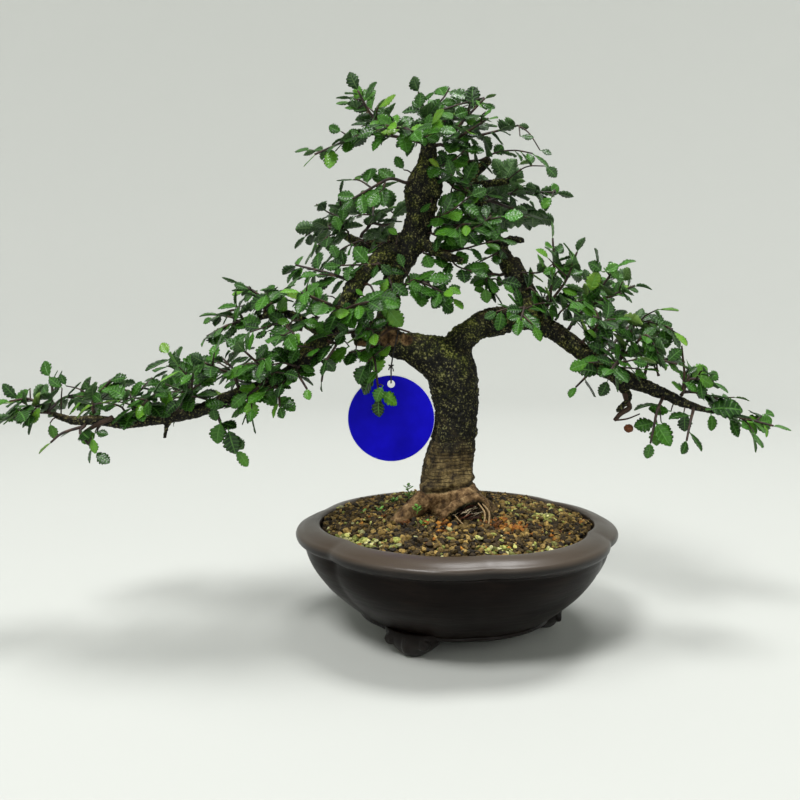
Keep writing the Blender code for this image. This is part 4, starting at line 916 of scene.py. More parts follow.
# Sprays: leafy side shoots of this year and last. Thin brown twigs leave the limbs, and their leaves
# stand in two rows, 12 to 16 mm long, with saw teeth, sunken veins and a glossy upper side.
SPRAYS = {
    "left_tip": ("left", [[(-243, -16, 138), (-254, -18, 137)], [(-240, -22, 131), (-249, -30, 129)],
                          [(-233, -9, 141), (-235, -7, 150)], [(-230, 1, 137), (-223, 14, 138)]]),
    "left_hang": ("left", [[(-212, -26, 120), (-202, -31, 110)], [(-222, -26, 120), (-228, -28, 115)]]),
    "left_a": ("left", [[(-206, -19, 138), (-196, -20, 149)], [(-209, -4, 136), (-217, 18, 136)]]),
    "left_b": ("left", [[(-184, -20, 138), (-174, -14, 150)], [(-174, -36, 137), (-164, -47, 144)]]),
    "left_c": ("left", [[(-152, -22, 147), (-164, -16, 164)], [(-146, -40, 147), (-142, -54, 156)]]),
    "left_c_back": ("left", [[(-160, 0, 138), (-174, 26, 143)]]),
    "left_under": ("left", [[(-132, -29, 124), (-124, -31, 111)]]),
    "left_d": ("left", [[(-124, -36, 153), (-137, -49, 161)], [(-128, -8, 153), (-140, 18, 159)]]),
    "left_e": ("left", [[(-107, -45, 158), (-114, -60, 168)], [(-115, -42, 142), (-113, -45, 132)],
                        [(-99, -44, 147), (-97, -52, 138)]]),
    "left_f": ("left", [[(-88, -40, 153), (-83, -48, 147)]]),
    "upper_out": ("left_upper", [[(-130, 8, 188), (-143, 6, 183)], [(-130, -10, 180), (-140, -26, 174)]]),
    "upper_top": ("left_upper", [[(-114, -1, 196), (-125, -2, 203)], [(-102, -12, 195), (-97, -22, 200)],
                                 [(-115, 20, 193), (-117, 42, 199)]]),
    "upper_low": ("left_upper", [[(-96, -26, 180), (-90, -44, 176)]]),
    "shoulder_out": ("left", [[(-74, -5, 209), (-94, 4, 214)]]),
    "shoulder_front": ("left", [[(-68, -34, 190), (-86, -43, 198)], [(-58, -36, 191), (-50, -44, 193)]]),
    "shoulder_low": ("left", [[(-68, -37, 170), (-73, -45, 162)]]),
    "shoulder_fall": ("left", [[(-76, -22, 159), (-78, -14, 148)]]),
    "back_end": ("left_back", [[(-83, 50, 240), (-93, 54, 234)], [(-80, 60, 242), (-76, 80, 251)]]),
    "back_top": ("left_back", [[(-51, 38, 241), (-50, 50, 254)], [(-42, 46, 240), (-34, 60, 253)]]),
    "shoot_up": ("left_back", [[(-69, 32, 236), (-69, 23, 256)]]),
    "fork_hang": ("fork_left", [[(-48, -20, 166), (-47, -24, 156), (-45, -27, 140)]]),
    "fork_out": ("fork_left", [[(-52, -22, 178), (-62, -36, 176)]]),
    "window": ("leader", [[(-22, -11, 204), (-4, -18, 195)]]),
    "leader_left": ("leader", [[(-39, -4, 262), (-60, -12, 250)]]),
    "leader_right": ("leader", [[(-6, -2, 236), (6, -16, 236)]]),
    "crown_left": ("leader", [[(-52, 4, 288), (-82, 0, 276)], [(-50, -2, 298), (-57, -6, 310)],
                              [(-40, 28, 297), (-54, 44, 308)]]),
    "crown_front": ("leader", [[(-25, -14, 286), (-41, -34, 286)]]),
    "crown_top": ("leader", [[(-19, 8, 301), (-23, 3, 311)], [(-6, 36, 302), (-2, 50, 312)]]),
    "crown_right": ("leader", [[(-6, 4, 282), (0, 1, 292), (14, -5, 306)], [(4, -8, 287), (15, -16, 293)]]),
    "riser_top": ("riser", [[(18, 26, 292), (36, 22, 296)]]),
    "riser_right": ("riser", [[(34, 34, 258), (60, 28, 258)], [(34, 40, 250), (54, 46, 244)]]),
    "riser_front": ("riser", [[(4, 14, 258), (-5, -6, 264)]]),
    "riser_low": ("riser", [[(8, 18, 238), (-10, 8, 229)], [(14, 8, 242), (15, -8, 238)]]),
    "riser_back": ("riser", [[(26, 60, 262), (36, 84, 280)], [(32, 62, 248), (48, 82, 250)]]),
    "riser_window": ("riser", [[(18, 14, 208), (17, 5, 194)]]),
    "right_a": ("right", [[(57, 13, 206), (56, 12, 230)], [(63, 2, 206), (67, -6, 221)]]),
    "right_a_front": ("right", [[(37, -9, 190), (33, -26, 183)]]),
    "right_b": ("right", [[(82, 8, 198), (92, 5, 213)], [(86, -6, 196), (99, -12, 202)],
                          [(82, 34, 198), (95, 58, 206)]]),
    "right_c": ("right", [[(106, 2, 182), (124, -2, 177)], [(106, -14, 174), (111, -20, 164)]]),
    "right_c_front": ("right", [[(78, -22, 182), (70, -40, 185)]]),
    "right_c_back": ("right", [[(103, 32, 174), (120, 56, 183)]]),
    "right_under": ("right", [[(76, 2, 150), (68, -6, 144)]]),
    "right_d_front": ("right", [[(88, -22, 160), (80, -42, 157)]]),
    "right_d": ("right", [[(110, -10, 160), (123, -16, 158)]]),
    "end_up": ("right", [[(132, -11, 149), (144, -16, 148)], [(142, 2, 140), (158, 8, 134)]]),
    "end_tip": ("right", [[(158, -14, 128), (178, -18, 123)]]),
    "end_low": ("right", [[(130, -21, 126), (126, -28, 116)]]),
    "end_hang": ("right", [[(112, -18, 132), (107, -24, 114)]]),
}
GAP = 0.35
TWIG_BASE_RADIUS = 1.15
TWIG_TIP_RADIUS = 0.6
TWIG_STEP = 13.0
FIRST_REACH = 2.6
TWIG_CLEAR = 1.1
BEND_TRIES = 6
FORK_RADIUS = 0.85
NEAR_SEAT = 0.6
LEAF_LENGTH = (12.5, 16.5)
LEAF_WIDTH = 0.66
LEAF_FOLD = 0.16
LEAF_DROOP = 0.14
LEAF_SPACING = 12.3
FIRST_LEAF = 7.0
LAST_LEAF = 3.0
TIP_LEAF = (0.6, 0.9)
LEAF_TRIES = 12
SAME_SIDE_TRIES = 5
LEAF_SEED = 41
CROWN_MIDDLE = 8.0
FACE_UP = 0.9
FACE_OUT = 0.5
FACE_CHANCE = 0.55
POINT_ALONG = (0.35, 0.75)
POINT_SIDE = 0.8
TIP_SIDE = 0.15
POINT_LEAN = (-0.5, 0.15)
GUARD_STALK = (0.22, 1.2)
GUARD_SIDE = [(0.5, 0.36), (0.85, 0.26)]
GUARD_TIP = 1.06
GUARD_THICK = 0.95
GUARD_REACH = 0.56


def node_tree(name):
    """A search tree of a CAD node, in millimetres from the pot's middle."""
    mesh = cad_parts[name].data
    points = [(v.co - POT_MIDDLE) / MM for v in mesh.vertices]
    return BVHTree.FromPolygons(points, [tuple(face.vertices) for face in mesh.polygons])


def nearest_on_limb(limb, point):
    """The nearest place on a limb's axis, with its direction there and its radius."""
    best = None
    for start, end in zip(limb, limb[1:]):
        a, b = Vector(start[:3]), Vector(end[:3])
        along = b - a
        t = min(1.0, max(0.0, (point - a).dot(along) / along.length_squared))
        place = a + along * t
        gap = (point - place).length
        if best is None or gap < best[0]:
            best = (gap, place, along.normalized(), start[3] + (end[3] - start[3]) * t)
    return best[1:]


def seat_on_wood(limb, first, tree):
    """Where a twig leaves the bark and which way: straight out of it."""
    place, along, radius = nearest_on_limb(limb, first)
    out = first - place
    at_end = (place - Vector(limb[-1][:3])).length < 1.0
    out = along if at_end else (out - along * out.dot(along)).normalized()
    start = place + out * (radius + 6.0)
    hit, normal, _, _ = tree.ray_cast(start, -out)
    normal = normal if normal.dot(out) > 0 else -normal
    return hit + normal * GAP, normal


def bend_clear(points, tree):
    """Move a twig's middle points out of the bark's reach."""
    moved = list(points[:2])
    for point in points[2:]:
        for _ in range(BEND_TRIES):
            near, normal, _, gap = tree.find_nearest(point)
            inside = (point - near).dot(normal) < 0
            reach = -gap if inside else gap
            if reach > TWIG_BASE_RADIUS + TWIG_CLEAR:
                break
            point = point + normal * (TWIG_BASE_RADIUS + TWIG_CLEAR + GAP - reach)
        moved.append(point)
    return moved


def tapered(points, base_radius):
    last = len(points) - 1
    return [(*p[:3], base_radius + (TWIG_TIP_RADIUS - base_radius) * i / last) for i, p in enumerate(points)]


def twig_routes(limb, stems, tree):
    """Routes of a spray's twigs: the first leaves the limb, and the others leave the first."""
    first = Vector(stems[0][0])
    seat, normal = seat_on_wood(LIMBS[limb], first, tree)
    keys = bend_clear([seat, seat + normal * FIRST_REACH] + [Vector(p) for p in stems[0]], tree)
    route = [Vector(p) for p in smooth_through([tuple(p) for p in keys[1:]], TWIG_STEP)]
    carrier = [keys[0]] + route
    routes = [tapered(carrier, TWIG_BASE_RADIUS)]
    for stem in stems[1:]:
        target = Vector(stem[0])
        foot = min(carrier[1:-1], key=lambda p: (p - target).length + NEAR_SEAT * (p - seat).length)
        branch = bend_clear([foot, foot] + [Vector(p) for p in stem], tree)[1:]
        route = [Vector(p) for p in smooth_through([tuple(p) for p in branch], TWIG_STEP)]
        routes.append(tapered(route, TWIG_BASE_RADIUS * FORK_RADIUS))
    return routes


def along_route(route, distance):
    """The place and direction at a distance along a route."""
    for start, end in zip(route, route[1:]):
        a, b = Vector(start[:3]), Vector(end[:3])
        span = (b - a).length
        if distance <= span or end is route[-1]:
            return a + (b - a) * min(1.0, distance / span), (b - a).normalized()
        distance -= span


def route_length(route):
    return sum((Vector(b[:3]) - Vector(a[:3])).length for a, b in zip(route, route[1:]))


def leaf_matrix(root, along, normal):
    along = along.normalized()
    across = normal.cross(along).normalized()
    up = along.cross(across).normalized()
    return Matrix(((along.x, across.x, up.x, root.x), (along.y, across.y, up.y, root.y),
                   (along.z, across.z, up.z, root.z), (0, 0, 0, 1)))


def leaf_guard(length, matrix, room=1.0):
    """The room a leaf needs: a coarse, thicker blade without its root."""
    outline = [(GUARD_STALK[0] * length, GUARD_STALK[1])]
    outline += [(along * length, across * length * room) for along, across in GUARD_SIDE]
    edge = outline + [(GUARD_TIP * length, 0.0)] + [(a, -c) for a, c in reversed(outline)]
    points = [matrix @ Vector((a, c, LEAF_FOLD * abs(c) - LEAF_DROOP * length * (a / length) ** 2))
              for a, c in edge]
    rim = len(points)
    for lift in (GUARD_THICK * room, -GUARD_THICK * room):
        points.append(matrix @ Vector((0.5 * length, 0.0, lift - LEAF_DROOP * length * 0.25)))
    faces = [(i, (i + 1) % rim, rib) for rib in (rim, rim + 1) for i in range(rim)]
    return BVHTree.FromPolygons(points, faces)


class Clearance:
    """What is already in place, to keep each new leaf out of it."""

    def __init__(self, fixed):
        self.fixed = fixed
        self.placed = []

    def add(self, owner, kind, tree, centre, reach):
        self.placed.append((owner, kind, tree, centre, reach))

    def is_free(self, owner, tree, centre, reach):
        for other in self.fixed:
            if tree.overlap(other):
                return False
        for other_owner, kind, other, middle, size in self.placed:
            if other_owner == owner and kind == "twig":
                continue
            if (middle - centre).length < reach + size and tree.overlap(other):
                return False
        return True


def face_and_point(along, outward, rank, draw, attempt, at_tip, up=FACE_UP, out=FACE_OUT):
    """Which way a leaf's upper side faces and which way the leaf points."""
    chance = Vector([draw.uniform(-FACE_CHANCE, FACE_CHANCE) for _ in range(3)])
    sky = (Vector((0, 0, up)) + outward * out + chance).normalized()
    side = along.cross(sky).normalized() * rank
    if attempt > SAME_SIDE_TRIES:
        side = -side
    lean = Vector((0, 0, draw.uniform(*POINT_LEAN)))
    if at_tip:
        heading = along + side * TIP_SIDE + lean
    else:
        heading = along * draw.uniform(*POINT_ALONG) + side * POINT_SIDE + lean
    return sky, heading.normalized()


def main_leaves(owner, route, clearance, draw):
    """Leaves along one twig, in two ranks, with one more at its tip, as the solids have them."""
    total = route_length(route)
    places = []
    distance = FIRST_LEAF
    while distance < total - LAST_LEAF:
        places.append(distance)
        distance += LEAF_SPACING * draw.uniform(0.9, 1.1)
    places.append(total - TIP_LEAF[0])
    leaves = []
    rank = draw.choice((-1, 1))
    for order, distance in enumerate(places):
        point, along = along_route(route, distance)
        at_tip = order == len(places) - 1
        rank = -rank
        length = draw.uniform(*LEAF_LENGTH) * (TIP_LEAF[1] if at_tip else 1.0)
        outward = Vector((point.x / 2, point.y - CROWN_MIDDLE, 0.0)).normalized()
        for attempt in range(LEAF_TRIES):
            sky, heading = face_and_point(along, outward, rank, draw, attempt, at_tip)
            matrix = leaf_matrix(point, heading, sky)
            centre = matrix @ Vector((length * 0.5, 0, 0))
            guard = leaf_guard(length, matrix)
            if clearance.is_free(owner, guard, centre, length * GUARD_REACH):
                clearance.add(owner, "leaf", guard, centre, length * GUARD_REACH)
                if in_open_air(matrix @ Vector((length * 0.9, 0, 0))):
                    length *= OPEN_SHRINK
                leaves.append((matrix, length * (TIP_SHRINK if at_tip else 1.0), at_tip, None))
                break
    return leaves


# Fill leaves and side shoots: what the solids leave out, tested against all that is in place
NO_FILL = {"left_hang", "left_under", "fork_hang", "shoulder_low",
           "shoulder_fall", "end_hang", "end_low", "right_under"}
FILL_SPACING = 4.6
FILL_UP = 0.75
FILL_OUT = 0.8
FILL_MIDDLE = 26.0
TIP_SHRINK = 0.8
FILL_LENGTH = (8.0, 14.0)
FILL_TRIES = 10
FILL_ROOM = 0.62
SHOOT_SPACING = 9.0
SHOOT_LENGTH = (8.0, 17.0)
SHOOT_RADIUS = 0.62
SHOOT_TIP_RADIUS = 0.34
FILL_SEED = 905


# Where the tree is densest, more shoots leave the limbs; each goes with the nearest spray
SHOOTS = [
    ("leader", [(-12, 4, 300), (-3, 2, 303), (5, 0, 305), (14, -2, 307)]),
    ("leader", [(-12, 10, 305), (-8, 10, 310), (-5, 10, 315)]),
    ("leader", [(-4, -2, 295), (6, -5, 294), (14, -8, 295), (22, -10, 297)]),
    ("leader", [(-20, 6, 301), (-22, 5, 306)]),
    ("riser", [(14, 22, 276), (23, 20, 280), (34, 18, 281), (44, 16, 279)]),
    ("riser", [(15, 16, 268), (27, 10, 270), (39, 6, 270), (48, 4, 266)]),
    ("riser", [(7, 22, 265), (1, 20, 269), (-4, 16, 275)]),
    ("riser", [(7, 18, 257), (-1, 12, 258), (-6, 8, 262)]),
    ("leader", [(-10, 2, 270), (-3, 0, 273), (3, -2, 278)]),
    ("leader", [(-10, -2, 230), (0, -6, 232), (10, -8, 235), (18, -8, 241)]),
    ("leader", [(-7, 2, 222), (3, 0, 223), (14, 0, 226), (24, 0, 228)]),
    ("leader", [(-11, -3, 241), (-3, -8, 245), (6, -8, 252)]),
    ("riser", [(22, 12, 236), (13, 6, 236), (5, 4, 243)]),
    ("riser", [(27, 14, 223), (19, 8, 219), (11, 4, 215)]),
    ("leader", [(-8, -2, 218), (-1, -8, 214), (7, -10, 210)]),
    ("riser", [(37, 22, 220), (44, 20, 223), (52, 18, 229)]),
    ("riser", [(40, 16, 210), (49, 10, 210), (56, 8, 215)]),
    ("riser", [(43, 12, 201), (48, 8, 196), (52, 6, 190)]),
    ("riser", [(35, 24, 227), (43, 24, 234), (50, 22, 240)]),
    ("left_back", [(-42, 12, 228), (-50, 8, 223), (-57, 6, 218)]),
    ("left_back", [(-56, 20, 229), (-66, 18, 225), (-74, 16, 219)]),
    ("left", [(-48, -6, 214), (-58, -12, 212), (-67, -16, 213)]),
    ("left_back", [(-66, 30, 236), (-76, 26, 232), (-84, 22, 225)]),
    ("left", [(-41, -8, 209), (-38, -12, 201), (-40, -14, 194)]),
    ("left", [(-50, -18, 202), (-46, -22, 195), (-41, -22, 190)]),
    ("left_upper", [(-89, -14, 179), (-99, -20, 181), (-108, -24, 179), (-117, -26, 176)]),
    ("left", [(-77, -30, 166), (-86, -36, 169), (-95, -38, 168)]),
    ("left", [(-88, -34, 157), (-96, -38, 160), (-104, -40, 159)]),
    ("left_upper", [(-96, 0, 183), (-105, 2, 188), (-114, 4, 186)]),
    ("right", [(86, -2, 149), (80, -8, 144), (76, -10, 140)]),
    ("left", [(-170, -34, 138), (-177, -38, 141), (-185, -40, 140)]),
    ("left", [(-187, -30, 135), (-194, -34, 138), (-202, -34, 137)]),
    ("left", [(-226, -16, 126), (-228, -18, 122), (-232, -18, 117)]),
    ("fork_left", [(-48, -18, 168), (-55, -22, 166), (-62, -24, 165)]),
    ("fork_left", [(-41, -20, 168), (-48, -24, 163), (-52, -24, 159)]),
    ("left", [(-116, -34, 138), (-120, -38, 136), (-127, -40, 138)]),
    ("left", [(-140, -34, 140), (-146, -38, 142), (-152, -40, 140)]),
    ("right", [(82, 0, 177), (86, -4, 181), (92, -6, 184)]),
    ("right", [(60, 4, 187), (66, 0, 192), (72, -2, 194)]),
    ("left_upper", [(-80, -10, 184), (-87, -12, 189), (-92, -12, 194)]),
]


# Leaves that stand out, each on a thin twig of its own: the root (x, y, z), the tip's x and z with the tip
# HAND_FORWARD nearer the front, and how young the leaf is
HAND_LEAVES = [
    (113.1, -12, 124.4, 100.3, 122.2, 0), (113.4, -13, 124.0, 113.5, 110.8, 0.5),
    (116.2, -11, 124.9, 122.0, 115.2, 0), (128.9, -12, 130.2, 130.2, 118.8, 0),
    (144.1, -13, 129.7, 144.7, 119.5, 0.2), (154.1, -14, 127.0, 160.4, 116.2, 0),
    (141.0, -8, 132.0, 162.0, 132.7, 0), (122.4, -9, 130.4, 109.4, 132.3, 0),
    (160.3, -16, 125.5, 178.7, 122.8, 1), (162.0, -16, 125.5, 169.2, 119.4, 0.8),
    (-131.9, -33, 127.8, -134.2, 115.1, 0), (-128.0, -34, 124.0, -123.7, 109.7, 0),
    (-136.1, -33, 136.1, -134.5, 127.9, 0), (-114.8, -42, 144.7, -124.4, 136.2, 0),
    (-112.9, -44, 142.2, -111.8, 131.0, 0.8), (-109.6, -40, 147.8, -100.5, 137.6, 0),
    (-203.1, -28, 120.4, -211.8, 114.9, 0.2), (-203.0, -30, 119.0, -201.9, 109.6, 0.8),
    (-203.1, -28, 120.9, -195.6, 120.0, 0), (-230.9, -20, 124.9, -228.6, 115.9, 0.3),
    (-233.2, -26, 135.3, -239.4, 125.9, 0.4), (-243.5, -20, 134.0, -254.1, 126.8, 0.3),
    (-244.1, -16, 143.8, -253.1, 136.5, 0.3), (-15.9, -2, 248.7, -22.1, 244.1, 0),
    (-19.7, -22, 204.9, -6.5, 206.5, 0), (-5.9, -24, 198.8, -16.4, 190.6, 0),
    (-29.6, -22, 203.2, -20.8, 199.4, 0), (-35.2, -20, 198.9, -41.8, 192.8, 0.2),
    (-7.5, -22, 200.5, 0.2, 197.7, 0), (15.0, -6, 201.2, 16.1, 192.2, 0.5),
    (-45.7, -26, 154.8, -52.3, 148.8, 0.3), (-42.9, -27, 147.1, -47.3, 138.3, 0.5),
    (-61.7, -26, 168.6, -73.3, 160.4, 0.7), (-57.8, -26, 166.4, -51.2, 159.9, 0.6),
    (-76.3, -30, 162.8, -69.2, 155.2, 0.1), (-77.8, -8, 201.2, -89.1, 195.6, 1),
    (-74.1, -12, 196.1, -85.4, 189.4, 0.6), (-53.5, -20, 196.1, -57.9, 200.0, 1),
    (-34.6, -2, 230.7, -39.8, 234.6, 1), (-22.2, 2, 301.5, -21.6, 310.6, 0),
    (-29.6, -6, 290.1, -46.9, 288.3, 0.8), (-60.7, 2, 304.8, -69.7, 305.1, 0.4),
    (-58.3, 0, 305.5, -57.1, 314.0, 0.5), (-57.2, -1, 304.2, -48.1, 312.2, 0.4),
    (-57.2, 0, 300.6, -64.5, 301.5, 0.4), (-87.6, -38, 159.0, -79.4, 155.8, 0.2),
    (-93.6, -38, 156.3, -89.2, 150.4, 0), (-118.9, -14, 200.0, -126.5, 202.8, 0.1),
    (-109.6, -16, 196.7, -103.8, 202.2, 0), (103.1, -12, 174.2, 112.2, 165.1, 0.2),
    (80.8, -10, 152.4, 68.0, 155.3, 0), (85.0, -12, 148.6, 80.5, 139.5, 0),
    (134.4, -14, 151.6, 143.9, 146.0, 0.2), (130.5, -10, 151.8, 135.8, 155.9, 0),
    (127.2, -14, 147.6, 136.1, 142.6, 0), (94.0, -2, 201.8, 98.9, 201.3, 1),
    (-69.8, 10, 217.1, -73.7, 225.7, 0), (-68.8, 14, 233.6, -72.1, 242.7, 0),
    (-67.5, 14, 239.3, -66.2, 248.5, 0), (-31.2, 4, 267.9, -35.8, 275.6, 0),
    (-40.4, 2, 262.0, -49.5, 264.1, 0), (-47.2, 0, 252.8, -46.6, 246.0, 0),
    (49.2, 2, 269.9, 56.0, 263.6, 0), (47.7, 12, 280.3, 54.5, 277.9, 0),
    (35.0, 4, 286.9, 42.8, 286.2, 0), (54.2, 6, 252.9, 48.4, 246.6, 0),
    (87.2, 2, 212.2, 92.8, 206.5, 0.2), (-153.4, -30, 154.6, -158.6, 163.9, 0),
    (-151.2, -30, 154.6, -146.0, 165.0, 0), (-222.6, -22, 144.9, -229.1, 151.1, 0),
    (-220.3, -22, 146.1, -222.9, 152.8, 0.2), (-206.4, -24, 142.9, -209.5, 148.5, 0),
    (82.4, -4, 209.8, 74.3, 215.4, 0), (82.6, -6, 209.7, 90.4, 214.2, 0),
    (-31.3, -12, 211.8, -34.6, 219.6, 0),
]
HAND_FORWARD = 1.0
HAND_FACE = (0.0, -0.8, 0.6)

# Seen from the front, the fill leaves stay out of these rounds (x, z, radius) between and round the sprays
VIEW_PLACE = (-33.5, -540.0, 195.0)
OPEN_AIR = [
    (-60, 317, 5), (-25, 315, 5), (-17, 318, 3), (0, 318, 5), (22, 311, 6), (33, 304, 7),
    (38, 293, 7), (25, 299, 5), (51, 276, 5), (52, 265, 5), (61, 253, 6), (26, 247, 5), (47, 233, 6),
    (59, 233, 5), (70, 226, 5), (-36, 258, 8), (-37, 285, 6), (-64, 276, 4), (-80, 285, 5),
    (-81, 272, 6), (-67, 258, 4), (-89, 252, 5), (-87, 242, 6), (-87, 231, 7), (-59, 257, 5),
    (-97, 213, 5), (-104, 217, 5), (-120, 209, 6), (3, 195, 7), (9, 194, 6), (-239, 155, 5),
    (-188, 152, 5), (-198, 149, 3), (-211, 145, 3), (-170, 167, 4), (-173, 160, 5), (-154, 173, 6),
    (-151, 168, 5), (-152, 181, 5), (-146, 182, 4), (-137, 200, 5), (-128, 204, 4), (-119, 206, 5),
    (-108, 204, 3), (-127, 216, 4), (-241, 109, 7), (-208, 101, 5), (-217, 99, 5), (-232, 117, 5),
    (-126, 101, 5), (-126, 109, 4), (-131, 120, 5), (-111, 126, 8), (-103, 126, 6), (-89, 139, 8),
    (-97, 141, 5), (-80, 135, 5), (-72, 125, 6), (-85, 146, 5), (-74, 155, 5), (66, 139, 6),
    (76, 134, 6), (60, 231, 5), (96, 216, 5), (105, 209, 5), (105, 200, 3), (74, 204, 3),
    (0, 183, 5), (5, 194, 5), (-1, 203, 5), (25, 198, 4), (136, 136, 5), (189, 118, 6),
    (-261, 118, 4)]
# Behind this depth the leaves may fill them, and a main leaf that reaches into one is drawn smaller
OPEN_DEPTH = 40.0
OPEN_SHRINK = 0.72


def in_open_air(point):
    """Whether a point in the front half of the tree lies before one of the open rounds."""
    if point.y > OPEN_DEPTH:
        return False
    reach = -VIEW_PLACE[1] / (point.y - VIEW_PLACE[1])
    x = VIEW_PLACE[0] + (point.x - VIEW_PLACE[0]) * reach
    z = VIEW_PLACE[2] + (point.z - VIEW_PLACE[2]) * reach
    return any((x - cx) ** 2 + (z - cz) ** 2 < size ** 2 for cx, cz, size in OPEN_AIR)


HAND_SHIFTS = (0, -3, 3, -6, 6, -9)
HAND_TWIG_RADII = (0.42, 0.34)


def hand_leaves(routes, clearance, leaves, twigs):
    """The leaves that stand out, moved nearer or further where something is in the way."""
    draw = random.Random(FILL_SEED)
    carriers = [(Vector(p[:3]), name) for name, found in routes.items() for route in found
                for p in smooth_through(route, 3.0)]
    for x, y, z, tip_x, tip_z, young in HAND_LEAVES:
        for shift in HAND_SHIFTS:
            start = Vector((x, y, z)) + Vector((0, shift, 0))
            along = Vector((tip_x, y - HAND_FORWARD, tip_z)) - Vector((x, y, z))
            face = Vector(HAND_FACE) + Vector([draw.uniform(-0.3, 0.3) for _ in range(3)])
            matrix = leaf_matrix(start, along, face)
            centre = matrix @ Vector((along.length * 0.5, 0, 0))
            guard = leaf_guard(along.length, matrix, FILL_ROOM)
            if clearance.is_free(None, guard, centre, along.length * GUARD_REACH):
                break
        else:
            continue
        clearance.add("hand", "leaf", guard, centre, along.length * GUARD_REACH)
        twig, name = min(carriers, key=lambda carrier: (carrier[0] - start).length)
        bark, _, _, gap = bark_tree.find_nearest(start)
        foot = bark if gap < (twig - start).length else twig
        middle = foot.lerp(start, 0.5) + Vector((0, 0, 0.12 * (start - foot).length))
        leaves[name].append((matrix, along.length, False, young))
        if (foot - start).length > 1.0:
            thick, thin = HAND_TWIG_RADII
            twigs.append([(*foot, thick), (*middle, thick), (*start, thin)])


def fill_leaf(owner, point, along, rank, draw, clearance, leaves, at_tip=False):
    length = draw.uniform(*FILL_LENGTH)
    outward = Vector((point.x / 2, point.y - FILL_MIDDLE, 0.0)).normalized()
    for attempt in range(FILL_TRIES):
        sky, heading = face_and_point(along, outward, rank, draw, attempt, at_tip, FILL_UP, FILL_OUT)
        matrix = leaf_matrix(point, heading, sky)
        centre = matrix @ Vector((length * 0.5, 0, 0))
        if in_open_air(centre) or in_open_air(matrix @ Vector((length * 0.9, 0, 0))):
            continue
        guard = leaf_guard(length, matrix, FILL_ROOM)
        if clearance.is_free(owner, guard, centre, length * GUARD_REACH):
            clearance.add(owner, "leaf", guard, centre, length * GUARD_REACH)
            leaves.append((matrix, length, at_tip, None))
            return


def fill_along(owner, route, spots, pace, rank, draw, clearance, leaves, tip=None):
    """Small leaves in two rows along a route between two distances, and one more at its tip."""
    spot, stop = spots
    while spot < stop:
        point, along = along_route(route, spot)
        rank = -rank
        fill_leaf(owner, point, along, rank, draw, clearance, leaves)
        spot += FILL_SPACING * draw.uniform(*pace)
    if tip is not None:
        point, along = along_route(route, tip)
        fill_leaf(owner, point, along, rank, draw, clearance, leaves, at_tip=True)


def inside_box(point):
    low, high = Vector(cad_box[0]), Vector(cad_box[1])
    place = point * MM + POT_MIDDLE
    return all(low[i] + 0.006 < place[i] < high[i] - 0.006 for i in range(3))


def side_shoots(owner, route, clearance, draw, leaves):
    """Short shoots from a twig, each with two rows of smaller leaves."""
    shoots = []
    total = route_length(route)
    distance = draw.uniform(4.0, 8.0)
    rank = draw.choice((-1, 1))
    while distance < total - 4.0:
        point, along = along_route(route, distance)
        rank = -rank
        sky = Vector((draw.uniform(-0.4, 0.4), draw.uniform(-0.4, 0.4), 1.0)).normalized()
        side = along.cross(sky).normalized() * rank
        heading = (along * draw.uniform(0.3, 0.8) + side * 0.8
                   + Vector((0, 0, draw.uniform(-0.35, 0.6)))).normalized()
        reach = draw.uniform(*SHOOT_LENGTH)
        bend = Vector((draw.uniform(-1.5, 1.5), draw.uniform(-1.5, 1.5), draw.uniform(-1.0, 2.0)))
        tip = point + heading * reach
        near, normal, _, gap = bark_tree.find_nearest(tip)
        if inside_box(tip) and not in_open_air(tip) and gap > 3.0 and (tip - near).dot(normal) > 0:
            keys = [(*point, SHOOT_RADIUS), (*(point + heading * reach * 0.5 + bend), SHOOT_RADIUS * 0.8),
                    (*tip, SHOOT_TIP_RADIUS)]
            shoot = [tuple(p) for p in smooth_through(keys, 3.0)]
            before = len(leaves)
            turn = draw.choice((-1, 1))
            fill_along(owner, shoot, (4.0, reach - 2.0), (0.9, 1.3), turn, draw, clearance, leaves, reach)
            if len(leaves) > before + 1:
                shoots.append(shoot)
            else:
                del leaves[before:]
        distance += SHOOT_SPACING * draw.uniform(0.8, 1.3)
    return shoots


# One blade: rows from the midrib to the toothed edge, and stations that run out along the veins
TEETH = 6
TOOTH_STATIONS = 3
VEIN_SLANT = 0.15
TOOTH_OUT = (0.83, 1.06, 1.09)
ROWS = [0.0, 0.34, 0.70, 1.0]
VEIN_SINK = 0.07
QUILT = 0.13
BLADE_THICK = 0.28
STALK_LENGTH = 0.11
BLADE_KINDS = 10


def half_width(along, blunt):
    return math.sin(math.pi * min(1.0, max(0.0, along)) ** 1.05) ** blunt * LEAF_WIDTH / 2


